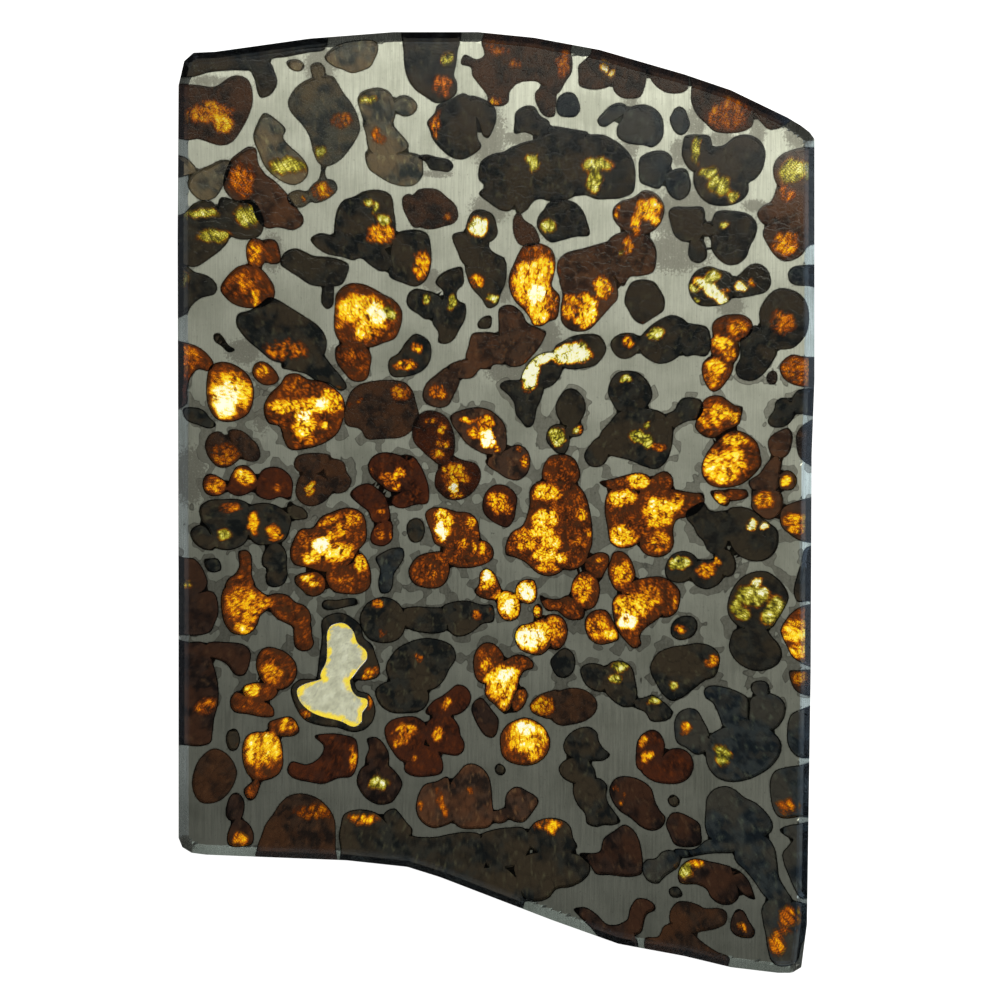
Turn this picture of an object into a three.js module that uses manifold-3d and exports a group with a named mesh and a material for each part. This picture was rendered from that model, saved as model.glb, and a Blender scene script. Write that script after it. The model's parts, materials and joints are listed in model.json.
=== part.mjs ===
import * as THREE from 'three';
import { mergeVertices } from 'three/addons/utils/BufferGeometryUtils.js';
import Module from 'manifold-3d';

const wasm = await Module();
wasm.setup();

// A flat slice through a stony iron: rounded olivine crystals held in one network of iron and nickel.
// Lengths are in mm. The slice lies on its back face, its viewed face up and its long side along Y.

const SLICE_THICKNESS = 3;
// The polished bevel on both faces: how far it runs in from the rim, and how far it drops there.
const BEVEL_RUN = 1.15;
const BEVEL_DROP = 0.7;
// The narrow seam round a crystal, against the metal or another crystal.
const SEAM = 0.12;
// How much each grain is widened all round, so that grains grown together meet.
const OVERLAP = 0.1;
// How far the cutting solids reach past both faces.
const REACH = 0.5;
// How far the whole traced outline is moved so that it stands over the origin.
const CENTRE_SHIFT = new THREE.Vector2(0.05, 0.05);

const METAL_COLOUR = 0x8f928a;
const DARK_COLOUR = 0x2a2d2a;
const BROWN_COLOUR = 0x4a3020;
const AMBER_COLOUR = 0xc98a1e;
const CLEAR_COLOUR = 0xdfe3d8;

// The outline of the whole slice, clockwise from its left side.
const SLICE_OUTLINE = [
  -33.9, 44.4, -33.3, 47, -32.3, 47.9, -30, 48, -20, 49.4, -11, 50.1, -2, 50.1, 4, 49.5, 11, 48.2,
  20, 45.6, 25, 43.9, 31, 41, 32.5, 40.1, 33.4, 39.4, 33.9, 38.7, 33.9, 13, 33.6, 5, 33.5, -18,
  33.1, -45, 32.5, -49.6, 31.5, -50.2, 30, -50.2, 25, -49.6, 20, -48.4, 13, -47.1, 6, -44.6,
  0, -42.3, -6, -40, -9.5, -38.9, -16, -38.2, -31, -37.6, -32.5, -37.4, -33.5, -36.8, -33.9, -35.8,
  -33.9, -10.4, -34, 28.2,
];

// The colourless window crystal, seen through from face to face.
const WINDOW_GRAINS = [
  [-17.6, -13.2, -16.3, -12.9, -15.3, -13.7, -14.8, -15, -13.9, -15.8, -13.8, -16.6, -14.6, -17.6,
    -15.6, -18.9, -17, -20, -18.7, -18.6, -18, -15.4],
  [-19, -19, -17.2, -18.4, -15.8, -18.8, -14.8, -20.7, -13.8, -21, -13.8, -21.7, -14.4, -23.4,
    -15.2, -23.9, -18.6, -22.8, -20.9, -21.2, -21.2, -20, -20.4, -19.4],
];

// Crystals that let little light through, olive to black. Each has the outlines of the grains grown together in it.
const DARK_CRYSTALS = {
  olivine_corner_top_left: [
    [-34.6, 45.7, -34.4, 49, -18.3, 50.4, -18.2, 48.2, -23.9, 47.1, -26, 45.9, -32.5, 45.2],
    [-24.9, 47.2, -24, 46.7, -23.3, 44.8, -24.2, 43.2, -25.1, 43, -25.8, 46.3],
  ],
  olivine_left_long_chain: [
    [-26.1, 28, -25.2, 28, -24.2, 26.4, -25.4, 24.8, -26.6, 26],
    [-23.6, 22.8, -23.7, 21.6, -26.4, 20.6, -27.9, 21, -29.4, 22.6, -27.6, 25, -26.2, 25.3,
     -25, 24.8],
    [-24.8, 27.8, -23.6, 27.9, -23, 25.5, -24.8, 25.8],
    [-27.5, 20, -24.2, 21.8, -23.2, 21.5, -18.9, 18.7, -18.1, 17.4, -18.2, 15.9, -20.4, 14.6,
     -23.8, 15, -26.7, 17.4, -27.7, 18.9],
    [-15.9, 12.2, -16.6, 11.8, -22.9, 14.3, -22.4, 15.2, -18.6, 15.7],
    [-24.8, 10, -22.4, 13.5, -21.2, 13.7, -17.2, 12.1, -16.1, 9.9, -17, 7.2, -18.4, 6.2, -22, 5.6],
  ],
  olivine_top_dark_column: [
    [-14.4, 43.6, -11.6, 43.8, -10.7, 42, -11.2, 40.1, -14.1, 40.6, -14.8, 42.8],
    [-14.2, 40.5, -11.2, 40.2, -9.3, 37.8, -10.2, 37.1, -13, 36.9],
    [-13.9, 37.3, -8, 36.8, -7.9, 34.6, -9, 33.6, -11, 33.8, -13.7, 35.6],
    [-11.2, 42.2, -9.9, 43.3, -8.4, 42.2, -9.5, 41],
  ],
  olivine_top_rainbow_bowl: [
    [-9.9, 51, -3.9, 51, -4.3, 43.4, -5.2, 42.7, -6.4, 42.4, -9.4, 44.9],
    [-3.5, 43.5, -2.6, 42.8, -1.6, 37.8, -3.7, 36.4, -6, 37.6, -7.4, 40.4, -6.3, 42.2],
    [-2.8, 42.9, -0.6, 41.4, -0.9, 38.7],
  ],
  olivine_black_centre_top: [
    [2, 37.9, 3, 34.5, 1.5, 31, 0.5, 31, -1.9, 32.8, -1.3, 33.6, -1.9, 35.5, -0.5, 37],
    [9.8, 39.2, 8.8, 37, 8.3, 32.6, 6.6, 31.9, 4, 32, 2.2, 30.6, 1.2, 37.1, 5.8, 40],
    [9.2, 38.9, 11.2, 39.1, 14.2, 37, 14.5, 32.9, 12, 32.2, 8.2, 32.6, 7.8, 35.8],
    [2, 41.4, 4, 42.1, 5.6, 40.5, 5.6, 39.5, 4.4, 38.9, 1.9, 39.2],
    [4.4, 30.3, 5.6, 31.9, 8.3, 31.9, 9.9, 28.4, 5.8, 27.6, 4.3, 29.3],
  ],
  olivine_right_black_upper: [
    [22.6, 39, 22.7, 36.2, 20.9, 35.1, 19.7, 37, 20, 38.9],
    [28.6, 37.4, 28.1, 35, 26, 33.8, 22.6, 35.9, 22.8, 37.6, 25.4, 38.9, 26.8, 39.1],
    [21.1, 35.3, 22.5, 36.2, 25.6, 36, 26.8, 33, 26, 32, 22.9, 31.6, 21.1, 33.4],
  ],
  olivine_right_black_dome: [
    [25.7, 25.3, 26.6, 26.1, 27.7, 29.6, 26.9, 30.6, 23.4, 30.9, 22.9, 26.8, 24.6, 25.2],
    [18.3, 30.9, 21.9, 31.4, 22, 28.2, 19.8, 27.7, 18.9, 28.4],
    [20.7, 28, 21.9, 28, 23.1, 26.8, 21.6, 25.4, 20.4, 26.2],
  ],
  olivine_centre_olive: [
    [-4.7, 28.4, -1, 28.4, -0.7, 27, 0.9, 25.9, 0, 24.9, -3.5, 25.3],
    [0.2, 26.3, 1, 25.6, 0.9, 23.1, -0.1, 21.2, -0.9, 20.6, -2.6, 22.7, -3.3, 25.2],
    [-2.4, 31, -0.4, 30.6, 0.1, 28.4, -0.8, 27.6, -2.6, 27.8, -3.3, 28.6],
  ],
  olivine_centre_green_black: [
    [-3.7, 25, -3.5, 23.2, -4.2, 22.4, -3.3, 19.6, -4.6, 17.2, -6.2, 17, -6.8, 20.4, -5.7, 22.4,
     -6.5, 23.3, -6, 24.2],
    [-9.3, 22.3, -6.4, 22.2, -5.3, 20.4, -7.5, 19.4, -9.3, 20.6],
  ],
  olivine_upper_left_black: [
    [-11.2, 32.6, -10.9, 26.4, -12.5, 26.6, -17.2, 27.2, -17, 31, -16.3, 32.1, -14, 33.1],
    [-19.8, 28, -18.8, 28.6, -13, 27.8, -11.6, 26.7, -11, 25, -12.2, 24.5, -14.4, 25.9, -18.1, 26.4],
    [-9, 29, -7.4, 28.6, -6.95, 27, -7.5, 23.6, -8.6, 22.9, -11.4, 24, -10.9, 28.4],
  ],
  olivine_right_band_column: [
    [12.1, 16.9, 13.6, 18, 14.7, 17.9, 15.4, 16.4, 13.8, 15.2, 12.9, 15.4],
    [20.3, 19, 20, 16.2, 19.3, 15.4, 17.2, 14.7, 15.3, 15.9, 15.1, 17.2, 17.5, 19.5, 18.6, 19.9],
    [19.9, 18.9, 23.1, 18.7, 22.8, 16.4, 22.3, 15.5, 20, 15.5],
    [27.3, 18.4, 25.7, 17, 23.2, 17.4, 22.9, 18.4, 23.1, 19.2, 25.2, 20, 27.1, 19.3],
    [23, 17.6, 24.4, 17.9, 25.6, 17.2, 25.5, 15, 23.4, 14.8],
    [24.2, 15.6, 25.2, 14.7, 25, 13.6, 23.1, 11.7, 22, 13.1, 22, 14.9],
    [32.2, 22.2, 33, 21.2, 33.1, 18.2, 31.6, 16.4, 29, 16.3, 28, 20.5, 29.9, 22.7],
    [27.4, 18.8, 28.4, 18.4, 29.9, 16, 28.6, 13.8, 26.6, 12.9, 25.4, 14.3, 25.9, 17.3],
  ],
  olivine_mid_black_lit_right: [
    [12.9, 13.8, 15, 13.8, 15.9, 13.1, 16.6, 11.3, 15.6, 9.7, 13, 9.6, 12.3, 10.5, 11.9, 12.3],
    [10.9, 7, 13, 9.6, 14.5, 10, 17.3, 9.7, 18.8, 8.2, 18.6, 5.6, 17, 3.5, 11.4, 5.2],
    [11.8, 6.6, 11.6, 4.2, 9.8, 3.9, 9.7, 5.8, 10.8, 6.9],
    [21.8, 10.8, 21.4, 8.8, 18.6, 7.7, 18, 8.4, 18, 9.3, 19.9, 11.1],
    [26.2, 10.1, 25.9, 8.4, 23.5, 6.9, 22.5, 6.8, 21.1, 8, 22, 10.8, 22.8, 11.3],
    [27.8, 6.2, 28.2, 4, 26.6, 2.2, 24, 1.5, 21.9, 2.8, 22.6, 5.6, 24.8, 7.6],
  ],
  olivine_centre_brown_ember: [
    [-1.2, 4.4, 2, 6.1, 2.9, 5.9, 3.6, 4, 2.3, 2.3],
    [-4.9, 9.2, -3.4, 9.9, -0.7, 9.8, 0.9, 8.2, 0.8, 5.2, -0.8, 5, -3.2, 6.2],
  ],
  olivine_mid_dark_rings: [
    [-13.1, 4.9, -12, 5.3, -9.4, 4.4, -9.2, 1.8, -10.2, 1, -12.4, 1.8, -13.7, 3.9],
    [-10, 5, -8.2, 4.1, -7.2, 1.6, -7.3, -0.1, -11, -0.4, -11.4, 0.5, -9.4, 2.4],
    [-15.6, 0.8, -13, 2.4, -12.6, 1.4, -11.3, -1.8, -13.2, -2.1],
    [-11.2, -2, -11.2, -4.2, -12, -4.7, -13.1, -4.3, -12.4, -2],
  ],
  olivine_left_olive_pair: [
    [-31.6, -0.6, -29, 0.3, -26.2, -0.4, -26.6, -4.2, -27.8, -5, -30.2, -4.6],
    [-26.6, -0.6, -25.2, -0.1, -22.6, -0.8, -21.8, -1.6, -22.3, -3.8, -25.6, -4.5, -26.4, -3.6],
    [-32.1, -2.6, -31.2, -2.4, -30.4, -3.3, -30.1, -5.1, -32.4, -4],
    [-22, 0.1, -20.6, -0.6, -20.1, -1.7, -22.2, -1.5],
    [-23.9, -4.2, -22.3, -5.6, -22.2, -7.8, -23.6, -9.1, -24.4, -8.8, -25, -6],
  ],
  olivine_low_black_lump: [
    [-4.7, -15.3, -4.3, -16.6, -6.6, -19.9, -9.8, -20, -11.2, -19.2, -11.8, -17.6, -9.8, -15.1,
     -8, -14.5],
    [-12.9, -20, -11.4, -19, -7.4, -19.9, -7.2, -21.2, -8, -22.2, -11.2, -22.4, -12.4, -21.6],
  ],
  olivine_low_black_knuckle: [
    [7.1, -25.8, 7.6, -24.8, 9.8, -23.9, 12.1, -26.9, 11.4, -27.5, 8.2, -27.4],
    [6.6, -28.3, 7.2, -27.5, 9.3, -27.2, 10.2, -28, 10.4, -29.9, 8, -29.9],
    [8.4, -29.6, 11, -29.4, 13.2, -34, 10.6, -34.6, 9.6, -34.2, 8.1, -30.8],
  ],
  olivine_low_black_drum: [
    [23.7, -16.2, 23.2, -18.6, 18.7, -21.2, 16.4, -18.2, 17.2, -16, 18.6, -15.4, 21.4, -15],
  ],
  olivine_low_black_wedge: [
    [19.6, -22.2, 21.4, -22.2, 22, -23.2, 22.8, -25.8, 22.1, -26.7, 21.2, -26.9, 19.2, -25.6,
     19, -23],
    [30.3, -25.6, 29.4, -28, 26.6, -29.6, 24.8, -29.8, 22.5, -28.2, 22.3, -25.2, 26.8, -23,
     28.4, -23.6],
    [22.1, -19.9, 24.4, -19.7, 26.8, -20.9, 26.8, -23.2, 25.4, -24.2, 24.2, -24],
    [30.4, -21, 30.8, -22, 29.6, -24.2, 28.2, -24.4, 26.9, -23.6, 27, -20.9, 28.4, -20.2],
    [27, -19.6, 28.4, -19, 28.9, -20.6, 28, -20.8],
  ],
  olivine_low_edge_blue: [
    [34.2, -27.9, 34, -33.5, 30, -33.5, 29.1, -31, 29.6, -28.6],
  ],
  olivine_low_great_black: [
    [18.6, -33.1, 21.6, -34.2, 21.8, -36.3, 18.9, -36.4, 18, -34.2],
    [22.4, -31.4, 23.2, -30.5, 25.4, -30.6, 28.7, -33, 29.3, -35, 27, -36.2, 22.9, -36, 22.2, -34.8],
    [25.2, -36.1, 28.6, -35.5, 31.6, -42.6, 30.4, -43, 28.2, -41.6, 25.4, -38.2],
    [29, -42.2, 31.8, -42.4, 34, -43.5, 34, -45.4, 31.4, -49.3, 29.2, -48.8, 28.2, -43.2],
    [25.5, -36, 25.5, -37.2, 19, -37.6, 19, -36.9, 21, -36.9, 22.4, -35.9],
    [19.6, -37.6, 19.4, -38.8, 17.2, -40.6, 16.2, -39.8, 16.4, -38, 18.6, -37],
  ],
  olivine_low_bottom_band: [
    [8.8, -37.4, 10.9, -37.2, 11.4, -35.8, 13.6, -34.3, 15, -36, 15.1, -39.6, 10.6, -39.6],
    [-16.3, -33.3, -14.2, -32.7, -12, -33.7, -10.6, -36, -10.6, -39.6, -16.6, -39.4],
    [-11.6, -32.8, -10.8, -32.6, -8.9, -34.9, -9.4, -35.8, -10.8, -35.6, -11.6, -34.6, -12.1, -33.4],
    [-10.8, -35.3, -1.8, -35.3, -1, -36.4, -1, -38.2, -2.6, -42, -10.8, -39.8],
    [3.4, -35.2, 3.8, -36.4, 2, -38.8, -1, -38.8, -1.8, -35.5, 1.4, -34.6],
    [3.2, -35.4, 3.9, -34.2, 6, -33.6, 7.9, -34.6, 8.6, -36.6, 8, -37.4, 4.6, -37.4, 3.3, -37.2],
    [1.8, -38.6, 3.2, -37.5, 7.6, -37.2, 9.6, -38, 10, -39.2, 9.2, -40.3, 5.6, -42.1, 3.2, -42.4],
    [-2.4, -39.2, 1.8, -38.9, 2.1, -39.9, 3, -42.6, 2.2, -44, -2.8, -42],
  ],
  olivine_low_brown_block: [
    [-3.4, -28, -1.6, -28.2, -0.8, -29.2, -0.2, -33.6, -0.8, -34.6, -3.8, -34.7, -4.8, -33.8,
     -5.1, -30.6],
    [-5.2, -29.2, -4.6, -33.9, -6.8, -34.7, -8.4, -33.4, -8.2, -30.8],
    [1.7, -30.4, 3.4, -30.8, 4.5, -31.9, 2.8, -34.1, 1, -33.4, 1, -31.2],
    [1.2, -32.4, 1.4, -33.6, -0.5, -34, -0.7, -33],
  ],
  olivine_window_rim: [
    [-18.6, -12.6, -16.4, -11.8, -15.2, -12.4, -13.2, -15.2, -12.6, -18.6, -17, -19.6, -19, -19.2],
    [-21.9, -19.9, -21, -18.9, -15.4, -18.6, -14.8, -20, -13.6, -20.4, -13.1, -23.2, -15.3, -24.5,
     -18.8, -23.8, -20.4, -23.2],
    [-14, -11, -11.8, -10.1, -10.6, -10.6, -9.6, -13, -10.2, -14.4, -11.4, -15, -13.8, -14.4,
     -14.6, -12.6],
    [-9.9, -11.4, -5.6, -11.3, -5.2, -13.6, -9.2, -13.6, -10, -12.9],
    [-5.8, -11.2, -3, -10.5, -0.4, -11, -0.3, -12.7, -4.6, -14.2],
  ],
  olivine_low_left_dark: [
    [-34.6, -14.9, -31, -15, -30, -17.6, -29.6, -21.4, -30.2, -24.6, -30.4, -25.6, -31.6, -26,
     -34.6, -25.6],
    [-30.8, -15, -27, -15.1, -26.2, -15.8, -26.8, -18.4, -31.4, -16.4],
  ],
};

// Brown crystals. Each has the outlines of the grains grown together in it.
const BROWN_CRYSTALS = {
  olivine_left_brown: [
    [-26.5, 44.4, -26.3, 41.2, -28.1, 38.3, -29.3, 37.9, -34.6, 39.2, -34.6, 44.3, -30, 44.2,
     -28.2, 44.8],
  ],
  olivine_top_grey_brown: [
    [-18.6, 45.4, -17, 44.8, -14.5, 39.8, -15.7, 37.4, -17.6, 34.4, -18.6, 34.2, -22.2, 42.6,
     -20.9, 44.5],
    [-16.9, 33.4, -18.4, 32, -20, 32.4, -20, 33.2, -18.3, 34.4],
    [-22.3, 32.6, -21.3, 33.2, -19.7, 32.3, -21.2, 31.3],
  ],
  olivine_top_brown_large: [
    [3.4, 50.6, 2.8, 46, 1.3, 42.6, -0.4, 42.9, -2.7, 46.2, -3.3, 46.6, -3.1, 47.4, -2.1, 47.1,
     -1.3, 47.6, -1.6, 49, -0.5, 51],
    [2.4, 50.8, 8, 49.3, 8, 45.7, 6.2, 43.3, 4.3, 44.7, 2, 44.5],
    [5.2, 44.3, 6.2, 43.9, 6.4, 43, 6.2, 41.1, 5.6, 40.9, 4.1, 42.8, 4.2, 43.7],
  ],
  olivine_top_edge_brown: [
    [12.6, 49, 12.7, 45, 11, 43.9, 8.8, 44.3, 8.7, 46.4, 10.5, 49.4],
    [11, 48.5, 15.9, 48, 15.3, 43.1, 13.3, 43, 12.5, 43.7],
    [15.3, 48.4, 15.1, 44.8, 18.2, 43.5, 20.4, 44, 20.5, 47],
  ],
  olivine_top_right_red: [
    [20.8, 47, 20.7, 42.6, 21.3, 41.2, 23.2, 39.4, 27.2, 40, 28.2, 44, 24.5, 46],
    [27.4, 44.6, 27.2, 41.6, 29, 39.6, 30.2, 39.8, 32.6, 41.8],
  ],
  olivine_mid_brown_ember: [
    [-16.2, 9.6, -14.6, 12.5, -11.2, 13, -8.9, 11.8, -8.2, 9, -10, 6.9, -13.8, 6.7, -16, 8.2],
    [-1.7, 3.4, -2.2, 1.4, -4, 0.2, -5.2, 0.3, -6.5, 1.5, -6.4, 3.2, -4.8, 4.9],
    [-7.6, 9.7, -5.2, 8.9, -4.4, 6.6, -5, 4.2, -6, 3.9, -8.8, 6.4, -8.7, 8.8],
  ],
  olivine_low_edge_rust_pair: [
    [18.4, -44.6, 19.3, -42.5, 24.5, -43.7, 24.4, -44.8, 23.4, -45.4, 20.6, -46, 19, -45.6],
    [15.8, -46.4, 19, -44.8, 24.8, -48.5, 24.2, -50, 16.2, -48.4],
  ],
  olivine_low_left_great_brown: [
    [-17.8, -32.6, -17.2, -33.8, -17.2, -38.8, -25.6, -38.4, -24.6, -34.3, -22, -31.2, -19, -31.5],
  ],
};

// Crystals that let light through, yellow to orange and red. Each has the outlines of the grains grown together in it.
const AMBER_CRYSTALS = {
  olivine_left_yellow_red: [
    [-28.2, 36.2, -29.9, 32.4, -31.2, 32, -32.3, 32.7, -32.9, 33.9, -32.2, 35.1, -29.3, 36.4],
    [-25.6, 37.6, -24.3, 33, -25.8, 31.9, -30.2, 31.2, -29.5, 33.6, -28.3, 36.4, -26.4, 37.8],
    [-25.3, 35, -22.6, 33.2, -20.5, 30.2, -20.7, 29.4, -24.4, 29.1, -25.6, 30.2, -26, 32.2],
    [-29.3, 32.4, -25.9, 32.1, -24.7, 29.8, -25.1, 28.4, -28.2, 28.2, -29.4, 29.3],
    [-30.3, 32, -28.6, 29.8, -28.4, 28.1, -29.1, 27, -32, 25, -34.6, 25.4, -34.6, 30.2, -31.4, 32.1],
    [-30.2, 23.7, -30, 22.1, -31.4, 21.7, -33, 20, -34.6, 19.7, -34.6, 25.5],
  ],
  olivine_left_lit_round: [
    [-33.2, 17, -30.1, 14.8, -30.6, 13.9, -31.7, 14.1, -32.5, 13.3, -33, 10.4, -34.6, 10,
     -34.6, 17.1],
    [-29.5, 14.9, -27, 14.1, -25.8, 12, -26.4, 9.4, -27.5, 8.7, -30, 9, -30.7, 10.3, -30.8, 13.3,
     -30.5, 14.4],
  ],
  olivine_right_lit_edge: [
    [34.6, 37.6, 34.6, 33.9, 30.2, 33.4, 29.4, 35.3, 30.2, 36.9, 32.3, 37.7],
    [29.9, 33.6, 34.6, 35, 34.6, 28, 29.6, 30.2, 29, 31.4],
    [28.3, 28.6, 29.6, 26.2, 31.5, 25.7, 34.6, 27.8, 34.6, 29.6, 30.2, 30, 28.9, 29.7],
    [29.7, 31.6, 29.2, 29.4, 28.3, 29.6, 27.7, 30.6, 28.1, 31.3],
  ],
  olivine_centre_lit_orange: [
    [17.8, 31.7, 17.8, 30.5, 16.3, 28.6, 14, 28.6, 12.4, 30.2, 13.2, 32, 15.8, 33.2],
    [15.8, 28.6, 16.9, 27.2, 16.6, 24.4, 14.2, 23.9, 13.5, 22.9, 12.2, 24.5, 12, 28, 14, 28.9],
    [12.6, 27.8, 13.3, 26, 13, 24.2, 9, 23.2, 7.2, 23.3, 6.5, 24.2, 6.5, 25.6, 7.4, 26.5],
    [12.6, 24, 12.9, 21.6, 12.3, 20.9, 9.8, 18.3, 7.6, 18.4, 6.9, 19.2, 6.7, 23.8],
  ],
  olivine_centre_yellow_brown: [
    [4.2, 27.6, 6.1, 26.5, 5.9, 23, 6.7, 22, 6.4, 19.5, 4.8, 18.7, 3.9, 18.8, 1.4, 22.5, 1.3, 24,
     2.4, 26.6],
    [-4.2, 14, -3.9, 12.8, -5.1, 10.3, -7.4, 10.4, -7.9, 11.3, -7.5, 12.6, -5.2, 14.4],
    [-5.2, 14.4, -2.6, 15.3, -0.8, 15, -0.6, 14.1, -3.8, 13.1],
    [-2.6, 17.9, 0.8, 17.4, 0.9, 14.7, -1.2, 14.1, -3.3, 15.3],
    [1.5, 21, 5.3, 18.1, 2.7, 14.5, 1.4, 14.4, 0.6, 15.2, 0.5, 20.4],
  ],
  olivine_left_lit_fire: [
    [-23, 25.3, -22.6, 26.5, -21.4, 27, -15.7, 25.2, -16.5, 23.1, -18.2, 22.9, -19.8, 23.1],
    [-17.4, 23.1, -17.4, 20.9, -18, 20.5, -18.6, 22.4, -18.3, 23.1],
    [-17.2, 22.9, -14.2, 23.2, -11, 21.6, -10, 19.8, -10.8, 17.4, -13.5, 16.4, -16.5, 16.9,
     -17.8, 19.8],
    [-17, 16.6, -15.4, 17.2, -13.9, 16.6, -13.3, 15.6, -13.7, 13.2, -15.4, 12.9, -16.2, 13.7,
     -17, 14.8],
  ],
  olivine_lit_river: [
    [11.4, 17.2, 11.7, 16.2, 10.4, 14.5, 7.8, 14.1, 6, 15, 6.2, 16.5, 8.2, 17.7, 10.8, 17.8],
    [6.6, 15.8, 6.7, 13.2, 5.8, 12.3, 3.2, 12.1, 2.6, 13.1, 4.1, 15.5],
    [0.9, 12.9, 3.8, 13.2, 5, 12.4, 3.8, 8.1, 3.2, 7.9, 2, 9.4, 0.3, 12.3],
  ],
  olivine_right_lit_white: [
    [20.4, 22.8, 21.4, 24.7, 22.6, 25.1, 24.8, 24.4, 25.6, 22.6, 24.4, 21.1, 23, 20.8, 21.6, 20.9],
    [29.1, 24.2, 28.6, 22.3, 25.5, 21.7, 24.9, 22.4, 25.2, 23.6, 26.9, 25.2, 28.6, 25],
  ],
  olivine_centre_fire_column: [
    [10.9, 2.1, 15, 3.15, 16.2, 2.8, 16.6, 1.9, 15.8, 1.2, 12.4, 1.2],
    [12.6, 1.6, 14.2, 1.6, 15.4, 0.6, 15.8, -2.4, 15.5, -4, 14.4, -4.8, 12.1, -4.3, 11.5, -1,
     11.7, 0.8],
    [22, 0.9, 21.3, -1.2, 19.2, -1.9, 18.2, -5.2, 15.9, -5.6, 15.2, -4.8, 15, 0.9, 16.4, 1.6],
    [16.2, 2.2, 18, 3.3, 18.8, 1.6, 16.6, 1.2],
    [20.2, -1, 22, 0, 22.6, -0.8, 25, -1.4, 24.2, -5.2, 23.2, -5.6, 22.4, -5.1],
    [24.7, -0.7, 27.2, -0.8, 29.9, -3, 29.6, -5.4, 28.6, -6.2, 25.9, -5.8, 24.5, -3.2],
    [23.8, -5, 24.8, -5.1, 25.5, -6.5, 24.6, -8, 23.2, -6.8],
    [24.2, -7.2, 23.6, -8.8, 22.4, -9.3, 20.6, -8, 21.4, -6.2, 23.6, -6.2],
    [21, -5.6, 21.5, -6.4, 20.4, -8.4, 18.2, -8.2, 18.5, -6.6, 19.2, -5.9],
    [31, 7.9, 31.5, 7.2, 31, 5, 29.3, 4.9, 28.9, 6.6],
    [30.4, 4.8, 30, 1.2, 27.2, 1.3, 26.8, 2.2, 29.5, 4.9],
    [31.7, 3, 31.7, 1.5, 30, 1.5, 30.3, 3.2],
    [27.2, 1.2, 30, 1.3, 30.9, 0.2, 29.8, -1.6, 28.8, -1.9, 27.1, -0.6],
    [30.4, -0.6, 34.6, 0.4, 34.6, -4.3, 31, -3.3, 30.3, -2.6],
  ],
  olivine_centre_fire_lower: [
    [16.9, -9.2, 17.9, -11.8, 15.9, -13.4, 15.4, -15.2, 14.6, -15.6, 12.8, -13.6, 12.3, -10.6,
     13, -9.7],
    [12.9, -9.5, 14.4, -8.4, 17.4, -7.9, 19.5, -9.4, 19.5, -10.8, 19, -11.9, 17.8, -12.3, 16, -10],
    [13.2, -5.2, 14.1, -5.8, 14.8, -7.8, 13.6, -9.6, 12.7, -9.4, 11.8, -7.2, 12.4, -5.4],
  ],
  olivine_centre_pyramid: [
    [8.1, 12.1, 9.5, 9.8, 8.4, 8, 7.4, 7.9, 6.3, 10.4],
    [6.3, 8.3, 7.8, 7.3, 7.1, 5, 5.3, 6.5],
    [9.3, 7.8, 9, 7.1, 7.4, 7, 7.4, 8.2, 8.9, 8.4],
    [5.4, 2.4, 6.8, 2.1, 7.5, -1.4, 7.1, -7.2, 5.8, -7.9, 1, -5.6, 1.6, -3.2, 2.8, -2.4, 3.5, 1.2],
    [6.8, 2.1, 8.4, 2, 9.4, 0.9, 10.2, -2.6, 9.4, -6.6, 8, -7.3, 7, -6.9],
    [4.8, 2.6, 5.7, 4.9, 7.4, 5.1, 8.8, 3.6, 8.2, 1.8, 5.2, 2],
    [11, -5.3, 11.9, -5.6, 12, -6.5, 11, -8.4, 9.4, -7.3, 9.4, -6.2],
    [9.8, -7.3, 10.6, -7.9, 10.9, -10.2, 9.4, -11.5, 8.4, -10.8, 7.9, -9.2, 8.2, -8.2],
    [4.6, -9.9, 7.6, -9.9, 9.4, -11.5, 9.2, -12.4, 5.4, -11.6],
  ],
  olivine_right_crackled: [
    [30.8, -9.2, 31.1, -10.2, 29.3, -13.4, 26.4, -13.6, 24.6, -11.8, 25.1, -9.2, 27.4, -7.4,
     28.8, -7.4],
    [25.3, -13.6, 28.4, -13.2, 30.1, -15.2, 30, -17.2, 27.6, -18, 26.2, -17.5, 24.7, -15.4],
  ],
  olivine_right_edge_honey: [
    [33.2, -10.9, 34.6, -10.8, 34.6, -17.8, 31.4, -16.4, 30.2, -13.6, 31, -12.2],
  ],
  olivine_mid_great_fire: [
    [-14.1, -1.4, -13.9, -4.2, -16.6, -7.3, -21.6, -6.6, -22, -5.4, -20.9, -2.9, -16.2, -0.6],
    [-14.1, -5.6, -13.5, -9.1, -14.6, -9.8, -17.2, -9.6, -18.2, -7.4, -15.4, -6.4, -14.8, -5.4],
    [-21.5, -8, -18.3, -7.2, -17.6, -9, -20, -10],
  ],
  olivine_left_edge_yellow: [
    [-34.6, -5.8, -32.2, -6, -31, -7.6, -31, -9.3, -34.6, -10.3],
    [-29.9, -9.8, -29.6, -12, -30.4, -13.8, -34.6, -14, -34.6, -10.1],
  ],
  olivine_left_fire_crown: [
    [-28.9, -9.2, -27.4, -6.8, -27.4, -5.2, -26.6, -5.1, -25.7, -8.9],
    [-26.2, -8.4, -23.9, -10.9, -26.1, -13.9, -27, -14.2, -29, -12.8, -29.3, -10, -28.9, -9],
    [-24.5, -10.2, -22.2, -9.9, -20.4, -11, -19.8, -11.8, -20, -13.4, -21, -13.6, -23.4, -12.4],
    [-21.5, -13, -19.7, -13.2, -19.8, -15.7, -21.4, -15.5],
  ],
  olivine_mid_fire_twin: [
    [-7.6, -1.2, -6.9, -0.6, -3, -1.1, -2.1, -1.8, -1.8, -4.2, -4.3, -5.2, -6.6, -4.4],
    [-0.3, -5.1, -0.4, -6, -2.6, -7, -4.2, -7, -5.8, -5.6, -5.6, -4.7, -2.4, -4, -1, -4.2],
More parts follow.
